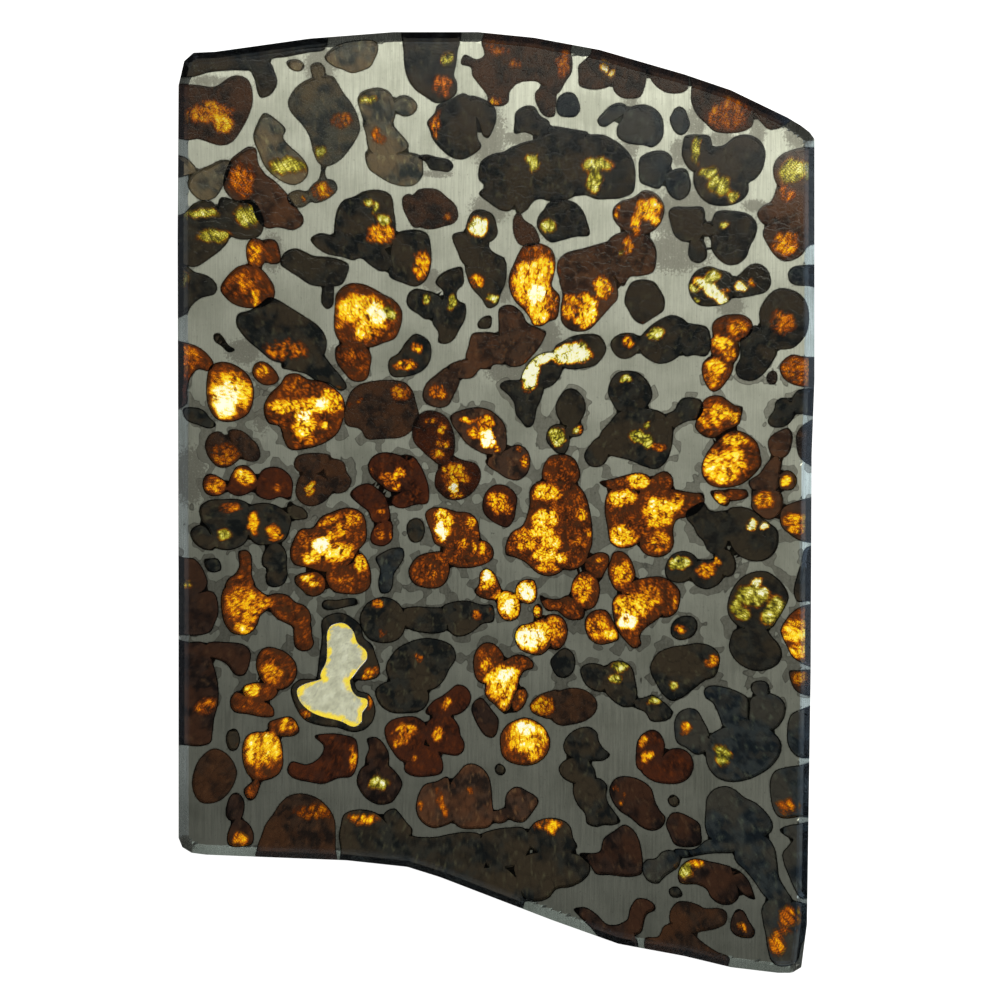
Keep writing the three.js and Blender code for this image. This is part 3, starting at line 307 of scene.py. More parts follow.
    [0.3,12.3, 0.9,12.9, 2.2,13, 3.8,13.2, 5,12.4, 4.8,11, 4.3,9.9, 4.1,8.8, 3.8,8.1, 3.2,7.9, 2.6,8.6, 2,9.4,
     1.9,10.4, 1.3,11.3],
    ],
    "mid_round_olive": [
    [6.3,10.4, 6.8,11.4, 7.4,12, 8.1,12.1, 8.8,11.7, 9.4,10.8, 9.5,9.8, 9.1,8.8, 8.4,8, 7.4,7.9, 6.6,8.8, 6.3,9.6],
    [5.3,7.2, 5.6,7.9, 6.3,8.3, 7.2,8.2, 7.8,7.3, 7.8,6.4, 7.6,5.6, 7.1,5, 6.4,5.2, 5.7,5.9, 5.3,6.5],
    [7.4,8.2, 8.9,8.4, 9.3,7.8, 9,7.1, 8.3,6.9, 7.4,7],
    ],
    "right_black_egg": [
    [14.4,23.4, 15.6,23.7, 16.8,23.4, 17.4,22.6, 17.9,21.6, 17.8,20.4, 17.2,19.9, 16.4,19.4, 15.5,18.9, 14.6,19.4,
     14,20.4, 13.6,21.2, 13.8,22.4],
    ],
    "right_black_band": [
    [12.1,16.9, 12.6,17.6, 13.6,18, 14.7,17.9, 15.4,17.3, 15.4,16.4, 14.7,15.6, 13.8,15.2, 12.9,15.4, 12.3,16.1],
    [15.1,17.2, 15.8,18.2, 16.7,19, 17.5,19.5, 18.6,19.9, 19.7,19.6, 20.3,19, 20.2,17.5, 20,16.2, 19.3,15.4,
     18.2,14.8, 17.2,14.7, 16.2,15.1, 15.3,15.9],
    [19.9,18.9, 21.4,18.9, 22.4,18.6, 22.8,17.6, 22.8,16.4, 22.3,15.5, 21,15.6, 20,15.5, 19.6,16.6],
    ],
    "right_orange_column": [
    [23.1,19.2, 24,19.8, 25.2,20, 26.3,19.9, 27.1,19.3, 27.3,18.4, 26.8,17.6, 25.7,17, 24.2,17, 23.2,17.4,
     22.9,18.4],
    [23,17.6, 24.4,17.9, 25.6,17.2, 25.9,16, 25.5,15, 24.8,14.6, 23.4,14.8, 22.8,15.9, 22.7,16.8],
    [22,14.9, 22.9,15.6, 24.2,15.6, 25.2,14.7, 25,13.6, 24.4,12.7, 23.8,12, 23.1,11.7, 22.5,12.1, 22,13.1,
     21.8,14.1],
    ],
    "right_dark_large": [
    [28.9,22, 29.9,22.7, 31,22.7, 32.2,22.2, 33,21.2, 33.3,19.8, 33.1,18.2, 32.5,17.2, 31.6,16.4, 30.4,16.2,
     29,16.3, 28.4,17.4, 28,19, 28,20.5],
    [25.9,17.3, 26.5,17.6, 27.4,18.8, 28.4,18.4, 29.4,17, 29.9,16, 29.3,14.8, 28.6,13.8, 27.6,13, 26.6,12.9,
     25.7,13.3, 25.4,14.3, 25.9,15.4],
    ],
    "right_lit_white": [
    [20.4,22.8, 20.7,23.9, 21.4,24.7, 22.6,25.1, 23.6,24.8, 24.8,24.4, 25.4,23.6, 25.6,22.6, 25.1,21.7, 24.4,21.1,
     23,20.8, 21.6,20.9, 20.8,21.6],
    [25.2,23.6, 26,24.4, 26.9,25.2, 27.7,25.4, 28.6,25, 29.1,24.2, 29.2,23.1, 28.6,22.3, 27.6,22, 26.6,21.8,
     25.5,21.7, 24.9,22.4],
    ],
    "right_edge_small": [
    [31,24.4, 31.5,25, 32.4,25.2, 34.6,25.1, 34.6,23, 33,23, 32,23, 31.2,23.4],
    ],
    "mid_black_right": [
    [11.9,12.3, 12.3,13.2, 12.9,13.8, 13.9,14, 15,13.8, 15.9,13.1, 16.4,12.3, 16.6,11.3, 16.2,10.4, 15.6,9.7,
     14.6,9.6, 13,9.6, 12.3,10.5, 11.9,11.4],
    [10.9,7, 12,8.5, 13,9.6, 14.5,10, 16,10, 17.3,9.7, 18.2,9.1, 18.8,8.2, 18.8,7, 18.6,5.6, 18,4.2, 17,3.5,
     15.6,3.8, 14.2,4.4, 12.6,4.8, 11.4,5.2],
    [9.3,4.9, 9.7,5.8, 10.8,6.9, 11.8,6.6, 12,5.2, 11.6,4.2, 10.8,3.7, 9.8,3.9],
    [18,9.3, 18.9,9.8, 19.3,10.6, 19.9,11.1, 21.1,11.1, 21.8,10.8, 22,9.8, 21.4,8.8, 20.4,8.6, 19.5,8.2, 18.6,7.7,
     18,8.4],
    ],
    "mid_lit_right": [
    [21.2,8.6, 21.6,9.8, 22,10.8, 22.8,11.3, 23.9,11.3, 24.7,10.8, 25.4,10.3, 26.2,10.1, 26.1,9.3, 25.9,8.4,
     25.3,7.9, 24.3,7.5, 23.5,6.9, 22.5,6.8, 21.6,7.3, 21.1,8],
    [22,4.5, 22.6,5.6, 23.6,6.7, 24.8,7.6, 25.8,7.6, 26.9,7.1, 27.8,6.2, 28.1,5, 28.2,4, 27.6,3.1, 26.6,2.2,
     25.6,1.7, 24,1.5, 22.7,1.8, 21.9,2.8, 21.8,3.8],
    ],
    "right_edge_ladder": [
    [28.9,8.9, 29.5,9.8, 29.7,10.7, 30.3,11.1, 31.1,11, 31.6,10.4, 31.8,9.4, 31.3,8.5, 30.6,8, 29.6,7.9, 28.9,8.3],
    [31.6,11.4, 32.3,12, 34.6,11.9, 34.6,9.3, 32.6,9.3, 31.6,9.5, 31.3,10.5],
    ],
    "right_edge_amber": [
    [30.1,14.4, 30.6,15.2, 31.5,15.7, 32.6,15.5, 34.6,15.2, 34.6,12.3, 33,12.2, 31.8,12.4, 30.9,12.8, 30.3,13.5],
    ],
    "right_red_dot": [
    [28.8,13.6, 29.3,14, 29.8,13.8, 29.9,13.1, 29.7,12.6, 29.1,12.5, 28.7,13],
    ],
    "right_edge_reds": [
    [28.9,6.6, 29.4,7.2, 30.1,7.6, 31,7.9, 31.5,7.2, 31.4,6, 31,5, 30.2,4.6, 29.3,4.9, 28.9,5.8],
    [26.8,2.2, 27.9,3, 28.7,4.1, 29.5,4.9, 30.4,4.8, 30.3,3.6, 30.1,2.4, 30,1.2, 28.6,1.2, 27.2,1.3],
    [30,2.4, 30.3,3.2, 31,3.4, 31.7,3, 32,2.3, 31.7,1.5, 31,1.2, 30,1.5],
    [27.1,0.2, 27.2,1.2, 28.6,1.4, 30,1.3, 30.5,0.4, 30.4,-0.8, 29.8,-1.6, 28.8,-1.9, 27.8,-1.3, 27.1,-0.6],
    [30.1,-1.6, 30.4,-0.6, 31.6,0, 32.6,0.3, 34.6,0.4, 34.6,-4.3, 33,-4.3, 32,-4, 31,-3.3, 30.3,-2.6],
    ],
    "right_edge_lower_red": [
    [31.9,7.2, 32.6,8.2, 34.6,8.9, 34.6,3.6, 33.2,4, 32.2,4.8, 31.9,6],
    ],
    "centre_fire_large": [
    [10.9,2.1, 12.4,2.5, 13.8,2.9, 15,3.15, 16.2,2.8, 16.6,1.9, 15.8,1.2, 14,1.2, 12.4,1.2],
    [11.7,0.8, 12.6,1.6, 14.2,1.6, 15.4,0.6, 15.6,-0.8, 15.8,-2.4, 15.5,-4, 14.4,-4.8, 13,-4.9, 12.1,-4.3,
     11.8,-2.8, 11.5,-1],
    [15,0.9, 16.4,1.6, 18,1.6, 19.8,1.2, 21,1, 22,0.9, 22.1,-0.2, 21.3,-1.2, 20,-1.7, 19.2,-1.9, 18.8,-3, 18.9,-4.4,
     18.4,-5.4, 17.2,-5.9, 15.9,-5.6, 15.2,-4.8, 15.2,-3, 15,-1],
    [16.2,2.2, 17,3, 18,3.3, 18.7,2.7, 18.8,1.6, 18.2,1.2, 16.6,1.2],
    ],
    "centre_dark_column": [
    [20.2,-1, 21,-0.4, 22,0, 22.6,-0.8, 23.4,-1, 24.2,-0.9, 25,-1.4, 25,-2.6, 24.8,-4, 24.2,-5.2, 23.2,-5.6,
     22.4,-5.1, 22,-4.2, 21.4,-3.6, 20.9,-2.6, 20.2,-1.8],
    [24.7,-0.7, 26,-0.5, 27.2,-0.8, 28.2,-1.6, 29,-2.2, 29.9,-3, 30,-4.3, 29.6,-5.4, 28.6,-6.2, 27.2,-6.3,
     25.9,-5.8, 25,-4.8, 24.5,-3.2, 24.4,-1.8],
    [23.1,-5.8, 23.8,-5, 24.8,-5.1, 25.5,-6.5, 25.3,-7.6, 24.6,-8, 23.8,-7.6, 23.2,-6.8],
    [20.8,-7, 21.4,-6.2, 22.6,-6.1, 23.6,-6.2, 24.2,-7.2, 24.2,-8, 23.6,-8.8, 22.4,-9.3, 21.2,-8.9, 20.6,-8],
    [18.1,-6.4, 18.8,-5.5, 20,-5.2, 21,-5.6, 21.5,-6.4, 21.2,-7.4, 20.4,-8.4, 19.2,-8.6, 18.2,-8.2, 17.9,-7.4],
    ],
    "centre_yellow_small": [
    [22.7,1.1, 23.6,1.3, 24.6,1, 24.9,0.3, 24.6,-0.4, 24,-0.4, 23.3,0.1],
    [24.3,1.3, 25.6,1.4, 26.6,1.3, 26.8,0.6, 26,0.2, 24.7,0.2],
    ],
    "centre_fire_lower": [
    [12.3,-10.6, 13,-9.7, 14.2,-9.8, 15.6,-9, 16.9,-9.2, 17.7,-10.4, 17.9,-11.8, 17,-12.6, 15.9,-13.4, 15.3,-14.2,
     15.4,-15.2, 14.6,-15.6, 13.7,-14.8, 12.8,-13.6, 12.4,-12.2],
    [12.9,-9.5, 14.4,-8.4, 16,-8, 17.4,-7.9, 18.4,-8.3, 19.5,-9.4, 19.5,-10.8, 19,-11.9, 17.8,-12.3, 16.9,-11,
     16,-10, 14.6,-10],
    [12.1,-6.2, 12.4,-5.4, 13.2,-5.2, 14.1,-5.8, 14.6,-6.8, 14.8,-7.8, 14.4,-8.8, 13.6,-9.6, 12.7,-9.4, 12,-8.2,
     11.8,-7.2],
    ],
    "centre_ball": [
    [18.5,-13.4, 19,-12.5, 19.9,-12.1, 20.9,-12.2, 21.4,-12.9, 21.2,-13.9, 20.5,-14.5, 19.5,-14.7, 18.7,-14.3],
    ],
    "right_crackled": [
    [24.6,-10.6, 25.1,-9.2, 26.1,-8, 27.4,-7.4, 28.8,-7.4, 30,-8.2, 30.8,-9.2, 31.1,-10.2, 30.6,-11.4, 30,-12.4,
     29.3,-13.4, 28,-13.7, 26.4,-13.6, 25.2,-12.8, 24.6,-11.8],
    [25.3,-13.6, 26.8,-13.2, 28.4,-13.2, 29.4,-14.4, 30.1,-15.2, 30.4,-16.2, 30,-17.2, 29,-17.8, 27.6,-18,
     26.2,-17.5, 25.2,-16.6, 24.7,-15.4, 24.9,-14.4],
    ],
    "right_edge_blue_black": [
    [31.6,-9.6, 31.9,-8, 32.4,-6.4, 32.9,-4.9, 34.6,-4.8, 34.6,-10.4, 33,-10.6, 32,-10.6],
    ],
    "right_edge_honey": [
    [30.2,-13.6, 31,-12.2, 32,-11.3, 33.2,-10.9, 34.6,-10.8, 34.6,-17.8, 33.4,-17.6, 32.2,-17, 31.4,-16.4,
     30.9,-15.4, 30.4,-14.4],
    ],
    "centre_pyramid": [
    [3.5,-0.2, 3.5,1.2, 4.2,2.1, 5.4,2.4, 6.8,2.1, 7.3,0.6, 7.5,-1.4, 7.4,-3.4, 7.5,-5.4, 7.1,-7.2, 5.8,-7.9,
     4.4,-7.6, 3,-6.4, 1.9,-5.9, 1,-5.6, 1,-4.4, 1.6,-3.2, 2.8,-2.4],
    [6.8,2.1, 8.4,2, 9.4,0.9, 9.9,-0.6, 10.2,-2.6, 10.2,-4.4, 9.9,-5.4, 9.4,-6.6, 8,-7.3, 7,-6.9, 7.2,-4, 7.2,-1,
     6.9,0.8],
    [4.8,2.6, 5,3.9, 5.7,4.9, 6.6,5.1, 7.4,5.1, 8.3,4.6, 8.8,3.6, 8.9,2.6, 8.2,1.8, 6.4,1.9, 5.2,2],
    [9.4,-6.2, 10.2,-5.6, 11,-5.3, 11.9,-5.6, 12,-6.5, 11.5,-7.6, 11,-8.4, 10.2,-7.9, 9.4,-7.3],
    [7.9,-9.2, 8.2,-8.2, 9,-7.4, 9.8,-7.3, 10.6,-7.9, 11,-9, 10.9,-10.2, 10.4,-11.2, 9.4,-11.5, 8.4,-10.8, 7.9,-10],
    [4.6,-9.9, 5.4,-10.2, 6.6,-10.3, 7.6,-9.9, 8.6,-10.7, 9.4,-11.5, 9.2,-12.4, 8.2,-12.6, 7.4,-12.4, 6.4,-11.6,
     5.4,-11.6, 4.8,-10.8],
    ],
    "centre_white_hot": [
    [1.9,-14.3, 2.4,-13.2, 3.4,-12.9, 4.6,-12.4, 5.3,-12.2, 5.9,-13.4, 6.1,-14.6, 5.6,-15.6, 4.7,-16.3, 3.6,-16.2,
     2.4,-15.6],
    [5,-12.3, 5.8,-11.9, 6.8,-12.1, 7.4,-12.8, 7.6,-13.8, 7.3,-15, 6.4,-15.8, 5.6,-15.2, 5.6,-13.6],
    [3.9,-11.2, 4.5,-10.8, 4.9,-11.4, 4.8,-12.3, 4.3,-12.9, 3.9,-12],
    ],
    "centre_cone_trio": [
    [-1.9,-8.8, -1.8,-7.6, -1.3,-7.1, -0.8,-7.1, -0.2,-7.6, 0.3,-8.6, 0.6,-9.6, 0.2,-10.4, -1,-10.4, -2,-10,
     -2.4,-9.4],
    [0,-10.4, 0.5,-9.5, 1.2,-9.4, 2,-9.8, 2.5,-10.5, 2.6,-11.5, 2.2,-12.4, 1.5,-12.7, 0.7,-12.5, 0.1,-11.6],
    [2,-9.2, 2.4,-8.5, 3.2,-8.2, 4,-8.3, 4.3,-9.2, 4.3,-10.2, 3.8,-10.8, 3,-10.8, 2.1,-10.2],
    ],
    "centre_round_red": [
    [-1.5,0, -1.1,1.1, -0.3,1.8, 0.7,1.85, 1.6,1.4, 2.2,0.5, 2.1,-0.6, 1.9,-1.8, 1.2,-2.7, 0.3,-2.5, -0.7,-1.9,
     -1.4,-1.1],
    ],
    "centre_brown_ember": [
    [-1.2,4.4, -0.2,5.1, 1,5.6, 2,6.1, 2.9,5.9, 3.5,5.1, 3.6,4, 3.2,2.9, 2.3,2.3, 1.1,2.5, 0,3.2, -0.8,3.7],
    [-4.9,9.2, -3.4,9.9, -1.9,10.1, -0.7,9.8, 0.2,9.1, 0.9,8.2, 1.1,7, 1.1,6, 0.8,5.2, -0.8,5, -2,5.4, -3.2,6.2,
     -4,7.2, -4.7,8.2],
    ],
    "centre_ember_left": [
    [-6.6,2.2, -6.4,3.2, -5.6,4.2, -4.8,4.9, -3.6,4.5, -2.2,4.1, -1.7,3.4, -1.7,2.4, -2.2,1.4, -3,0.6, -4,0.2,
     -5.2,0.3, -6,0.9, -6.5,1.5],
    [-8.7,8.8, -7.6,9.7, -6.2,9.6, -5.2,8.9, -4.6,7.6, -4.4,6.6, -4.5,5.2, -5,4.2, -6,3.9, -7,4.6, -7.9,5.4,
     -8.8,6.4, -9,7.8],
    ],
    "mid_dark_rings": [
    [-13.7,3.9, -13.1,4.9, -12,5.3, -10.6,5.1, -9.4,4.4, -9,3, -9.2,1.8, -10.2,1, -11.4,1.1, -12.4,1.8, -13.4,2.8],
    [-10,5, -8.9,4.9, -8.2,4.1, -7.6,2.9, -7.2,1.6, -7.3,-0.1, -8.6,-0.3, -10,-0.7, -11,-0.4, -11.4,0.5, -10.4,1,
     -9.4,2.4, -9.6,4],
    [-15.6,0.8, -14.8,1.7, -13.6,2, -12.6,1.4, -11.8,0.6, -11.4,-0.6, -11.3,-1.8, -12,-2.3, -13.2,-2.1, -13.7,-1,
     -14.6,-0.3],
    [-13.4,-3.4, -13,-2.6, -12.4,-2, -11.2,-2, -11,-3.4, -11.2,-4.2, -12,-4.7, -12.9,-4.6, -13.4,-4.2],
    ],
    "mid_great_fire": [
    [-21.7,-4.2, -20.9,-2.9, -19.6,-2.7, -18.7,-1.6, -17.4,-1, -16.2,-0.6, -15,-0.7, -14.1,-1.4, -13.8,-2.8,
     -13.9,-4.2, -14.7,-5.2, -15.4,-6.4, -16.6,-7.3, -18.4,-7.5, -20.2,-7, -21.6,-6.6, -22,-5.4],
    [-18.2,-7.4, -16.8,-6.9, -15.4,-6.4, -14.8,-5.4, -14.1,-5.6, -13.5,-6.8, -13.3,-8, -13.5,-9.1, -14.6,-9.8,
     -16,-9.8, -17.2,-9.6, -18,-8.8],
    [-21.5,-8, -20.9,-7.6, -20,-7.4, -19,-7.4, -18.2,-8.2, -18.2,-9.3, -19,-10, -20,-10, -20.8,-9.3, -21.4,-8.7],
    ],
    "mid_pill": [
    [-18.6,-10.8, -18.2,-10.4, -17,-10.4, -15.6,-10.2, -14.9,-10.3, -14.8,-10.9, -15.6,-11.1, -16.9,-11.4,
     -18,-11.5, -18.5,-11.3],
    ],
    "mid_brown_ball": [
    [-21.3,1.9, -20.9,2.8, -20,3.3, -18.9,3, -17.9,2.4, -17.3,1.4, -17.9,0.4, -18.9,-0.3, -20,-0.45, -20.9,0,
     -21.4,0.9],
    [-21.6,4, -21.2,4.9, -20,5.2, -18.6,5.2, -17.6,4.9, -18,3.9, -18.9,3, -20.3,3, -21.2,3.3],
    [-18.5,3.7, -17.9,4.5, -17,4.6, -16.2,4.2, -15.9,3.2, -15.4,2.3, -15.8,1.3, -16.6,0.9, -17.4,1, -18,2.2],
    ],
    "left_ember_pair": [
    [-31.3,2, -30.9,2.9, -30.2,3, -29.2,2.5, -28.6,1.9, -29,0.9, -30.2,0.6, -31,1],
    [-28.6,2, -28.2,3, -27.6,3.8, -26.6,3.9, -25.8,3.2, -25.3,2.2, -25.5,1.5, -26.4,0.9, -27.4,0.6, -28.3,0.9,
     -28.9,1.5],
    [-25.6,2.2, -24.8,3.5, -23.4,3.75, -22.3,3.2, -21.7,2.3, -21.7,1, -22,0.2, -23,0.5, -24.2,0.2, -25.6,0.8],
    ],
    "left_ember_red": [
    [-31,6.3, -30.4,7.3, -29.4,7.5, -28.6,6.8, -27.5,6, -27,5.2, -27.6,4.3, -28.6,3.7, -29.6,3.7, -30.4,4.4,
     -30.9,5.3],
    [-28.5,7.6, -27.4,7.7, -26.6,7.3, -26.1,6.8, -25.4,6.1, -25.1,5, -25.4,4.4, -26.2,4.3, -27,4.6, -27.4,5.6,
     -28.3,6.4],
    ],
    "left_black_slab": [
    [-33.4,9.9, -32.3,10.1, -31.2,9.8, -30.5,9, -29.8,8.2, -30.5,7.8, -31.8,8.2, -33,8.7],
    ],
    "left_olive_pair": [
    [-31.6,-0.6, -30.6,0.2, -29,0.3, -27.4,0.3, -26.2,-0.4, -26.2,-2.5, -26.6,-4.2, -27.8,-5, -29.2,-5.1,
     -30.2,-4.6, -30.6,-3, -31.4,-2],
    [-26.6,-0.6, -25.2,-0.1, -23.8,-0.2, -22.6,-0.8, -21.8,-1.6, -21.9,-2.6, -22.3,-3.8, -23,-4.4, -24.2,-4.6,
     -25.6,-4.5, -26.4,-3.6, -26.7,-2],
    [-32.6,-3.2, -32.1,-2.6, -31.2,-2.4, -30.4,-3.3, -29.9,-4.3, -30.1,-5.1, -31,-5.1, -31.9,-4.6, -32.4,-4],
    [-22,0.1, -21.4,-0.3, -20.6,-0.6, -20.1,-1.2, -20.1,-1.7, -20.8,-1.9, -21.6,-1.9, -22.2,-1.5, -22.4,-0.8],
    [-25,-6, -24.6,-5, -23.9,-4.2, -22.8,-4.6, -22.3,-5.6, -22.3,-6.8, -22.2,-7.8, -22.6,-8.7, -23.6,-9.1,
     -24.4,-8.8, -24.6,-7.8, -24.4,-7.2, -24.9,-6.8],
    ],
    "left_black_tabs": [
    [-31.1,-6.1, -30.5,-6, -29.7,-6, -29.3,-6.6, -29.3,-7.2, -29.9,-7.5, -30.6,-7.4, -31,-6.9],
    ],
    "left_edge_yellow": [
    [-34.6,-5.8, -33.2,-5.9, -32.2,-6, -31.4,-6.8, -31,-7.6, -30.7,-8.6, -31,-9.3, -31.9,-9.9, -33,-10.2,
     -34.6,-10.3],
    [-34.6,-10.1, -33,-9.9, -31.6,-9.6, -30.6,-9.4, -29.9,-9.8, -29.6,-10.8, -29.6,-12, -30,-13, -30.4,-13.8,
     -31.6,-14.2, -33.2,-14.2, -34.6,-14],
    ],
    "left_fire_crown": [
    [-28.9,-9.2, -28.6,-8.2, -27.8,-7.6, -27.4,-6.8, -27.5,-5.6, -27.4,-5.2, -26.6,-5.1, -26.1,-5.6, -26,-6.8,
     -26,-7.8, -25.7,-8.9, -27,-9.2],
    [-28.9,-9, -28,-8.6, -27.2,-8.4, -26.2,-8.4, -25.6,-9, -24.9,-9.6, -24.1,-10.2, -23.9,-10.9, -24.5,-11.6,
     -25.1,-12.1, -25.4,-13, -26.1,-13.9, -27,-14.2, -28.2,-13.9, -29,-12.8, -29.3,-11.4, -29.3,-10],
    [-24.5,-10.2, -23.6,-9.7, -22.2,-9.9, -21.4,-10.6, -20.4,-11, -19.8,-11.8, -19.7,-12.8, -20,-13.4, -21,-13.6,
     -22.2,-13, -23.4,-12.4, -24.2,-11.4],
    [-21.5,-13, -20.3,-13, -19.7,-13.2, -19.6,-14.2, -19.4,-15, -19.8,-15.7, -20.6,-15.9, -21.4,-15.5, -21.6,-14.6],
    ],
    "mid_fire_twin": [
    [-7.6,-1.2, -6.9,-0.6, -5.6,-0.6, -4.2,-1, -3,-1.1, -2.1,-1.8, -1.8,-3, -1.8,-4.2, -2.8,-4.9, -4.3,-5.2,
     -5.6,-4.9, -6.6,-4.4, -7,-3.2, -7.4,-2.2],
    [-5.6,-4.7, -4,-4.4, -2.4,-4, -1,-4.2, -0.3,-5.1, -0.4,-6, -1.2,-6.6, -2.6,-7, -4.2,-7, -5.3,-6.5, -5.8,-5.6],
    [-9.4,-7.4, -8.9,-6.3, -8.1,-5.6, -6.8,-5.3, -5.4,-5.3, -5,-6.6, -5,-7.6, -5.5,-8.7, -6.4,-9.2, -7.9,-9.1,
     -8.9,-8.6],
    ],
    "mid_black_eye": [
    [-9.6,-2.9, -9.3,-2, -8.5,-1.7, -7.9,-2, -7.6,-2.9, -7.8,-3.8, -8.3,-4.3, -9.1,-4.2],
    ],
    "mid_black_hook": [
    [-12.9,-6, -12.2,-5.4, -11.1,-4.9, -10,-4.9, -9.8,-5.8, -10.3,-6.8, -10.9,-7.7, -11,-8.8, -11.4,-9.6,
     -12.3,-9.7, -12.6,-8.6, -12.4,-7.2],
    ],
    "window_rim": [
    [-18.6,-12.6, -17.6,-11.9, -16.4,-11.8, -15.2,-12.4, -14.4,-13.2, -14.1,-14.4, -13.2,-15.2, -12.8,-16.4,
     -12.4,-17.6, -12.6,-18.6, -13.8,-19, -15.4,-19, -17,-19.6, -19,-19.2, -19,-17.6, -18.8,-16, -18.6,-14.4],
    [-21.9,-19.9, -21,-18.9, -19.4,-18.8, -17.4,-18.6, -15.4,-18.6, -14.8,-20, -13.6,-20.4, -12.9,-21.8,
     -13.1,-23.2, -14,-24.2, -15.3,-24.5, -17,-24, -18.8,-23.8, -20.4,-23.2, -21.4,-21.8],
    ],
    "low_dark_mass": [
    [-14.6,-12.6, -14,-11, -13,-10.3, -11.8,-10.1, -10.6,-10.6, -9.9,-11.5, -9.6,-13, -10.2,-14.4, -11.4,-15,
     -12.9,-14.9, -13.8,-14.4],
    [-9.9,-11.4, -8.6,-11.1, -7,-11.2, -5.6,-11.3, -5,-12.4, -5.2,-13.6, -6.4,-14, -8,-13.9, -9.2,-13.6, -10,-12.9],
    [-5.8,-11.2, -4.6,-10.6, -3,-10.5, -1.6,-10.9, -0.4,-11, -0.3,-12.7, -1.5,-13, -2.5,-13.8, -3.6,-14.3,
     -4.6,-14.2, -5.4,-13.2],
    ],
    "low_black_lump": [
    [-10.9,-15.9, -9.8,-15.1, -8,-14.5, -6.2,-14.6, -4.7,-15.3, -4.3,-16.6, -5,-17.8, -5.6,-19, -6.6,-19.9,
     -8,-20.2, -9.8,-20, -11.2,-19.2, -11.8,-17.6],
    [-12.9,-20, -11.4,-19, -9.6,-19.4, -7.4,-19.9, -7.2,-21.2, -8,-22.2, -9.6,-22.5, -11.2,-22.4, -12.4,-21.6],
    ],
    "low_fire_branch": [
    [-7.6,-22.4, -6.8,-21.2, -5.8,-20.6, -5,-20, -4.2,-19.4, -3.2,-19.7, -2.7,-20.6, -2.9,-21.6, -3.8,-22.5,
     -4.9,-22.8, -6.4,-22.9],
    [-7.4,-23.4, -6.2,-22.6, -4.8,-22.8, -4,-23.8, -3.8,-24.8, -3.4,-25.6, -3.5,-26.5, -4.2,-27, -5.2,-26.9,
     -6.4,-26.6, -7.4,-25.8, -7.7,-24.6],
    [-11.9,-24, -11.2,-23.2, -9.8,-22.8, -8.4,-22.9, -7.4,-23.8, -7.4,-25, -7.8,-26.2, -8.3,-27.6, -9.2,-27.9,
     -10.4,-27.4, -11.3,-26.2, -11.8,-25.2],
    [-8.4,-25.8, -7,-26, -6.2,-26.6, -5.7,-27.6, -5.8,-28.8, -7,-29.2, -8.8,-29.2, -9.8,-28.6, -9.6,-27.4],
    ],
    "low_brown_drop": [
    [-2.7,-22, -2.4,-21.2, -1.6,-20.8, -1,-21.4, -0.4,-22.2, 0.2,-23, 0.2,-24, 0,-24.7, -0.4,-25.1, -1.2,-24.9,
     -1.9,-24, -2.4,-23],
    ],
    "low_flame": [
    [-2.5,-17, -2.2,-15.8, -1.4,-15, -0.4,-15, 0.5,-15.8, 0.9,-16.8, 0.3,-18, -0.3,-19, -1.3,-19.4, -2.2,-18.8],
    [0.2,-17.2, 1.2,-16.6, 2.2,-16.2, 3.2,-16.4, 3.9,-17, 3.9,-17.7, 3,-18, 2.5,-18.8, 2.3,-19.8, 1.9,-20.8,
     1.5,-22, 1,-22.6, 0.4,-22.2, -0.2,-21.6, -0.9,-21, -1.3,-20.2, -1,-19, -0.6,-18],
    [1.5,-21.6, 1.9,-20.4, 2.6,-19.6, 3.2,-20, 3.3,-20.8, 2.8,-21.9, 2,-22.4, 1.4,-22.3],
    ],
    "low_yellow_round": [
    [0.4,-26.2, 0.4,-24.8, 1.1,-23.7, 2.2,-23.1, 3.1,-22.9, 4.2,-23.3, 5.1,-24, 5.7,-25.2, 5.6,-26.4, 4.9,-27.4,
     3.8,-28, 2.4,-28, 1.2,-27.6, 0.6,-27],
    ],
    "low_ink_dot": [
    [-0.2,-28.3, 0.2,-27.8, 0.8,-28.1, 1,-28.6, 0.6,-29.1, 0,-28.9],
    ],
    "low_rose_pair": [
    [3.5,-21.6, 4.4,-20.6, 5.6,-20.1, 6.6,-20, 7,-21, 6.8,-22.4, 5.9,-23.1, 4.8,-22.9, 3.8,-22.4],
    [6.2,-20.4, 7.6,-19.8, 8.8,-19.8, 9.8,-20.2, 10.6,-21, 10.7,-22, 10.2,-22.8, 9.2,-23.4, 8,-23.7, 6.8,-23.8,
     5.9,-23.2, 6,-21.8],
    ],
    "low_black_knuckle": [
    [7.1,-25.8, 7.6,-24.8, 8.6,-24.1, 9.8,-23.9, 10.7,-24.5, 10.9,-25.4, 11.4,-26.2, 12.1,-26.9, 11.4,-27.5,
     10.4,-27.6, 9.4,-27.6, 8.2,-27.4, 7.3,-26.7],
    [6.6,-28.3, 7.2,-27.5, 8.2,-27.1, 9.3,-27.2, 10.2,-28, 10.6,-29, 10.4,-29.9, 9.2,-30.2, 8,-29.9, 7,-29.3],
    [8.1,-30.8, 8.4,-29.6, 9.6,-29.4, 11,-29.4, 11.8,-30.2, 11.7,-31.2, 11.9,-32, 12.6,-33, 13.2,-34, 12.4,-34.4,
     11.4,-34.4, 10.6,-34.6, 9.6,-34.2, 9.4,-33.2, 8.6,-32.2],
    ],
    "low_dark_ember": [
    [12,-30.4, 12.8,-29.3, 14.2,-29.2, 15.6,-29.7, 16.5,-30.5, 16.9,-31.8, 17.4,-32.8, 18,-33.6, 17.6,-34.6,
     16.6,-35, 15.4,-34.6, 14.2,-33.6, 13,-32.8, 12.2,-31.6],
    ],
    "low_orange_pair": [
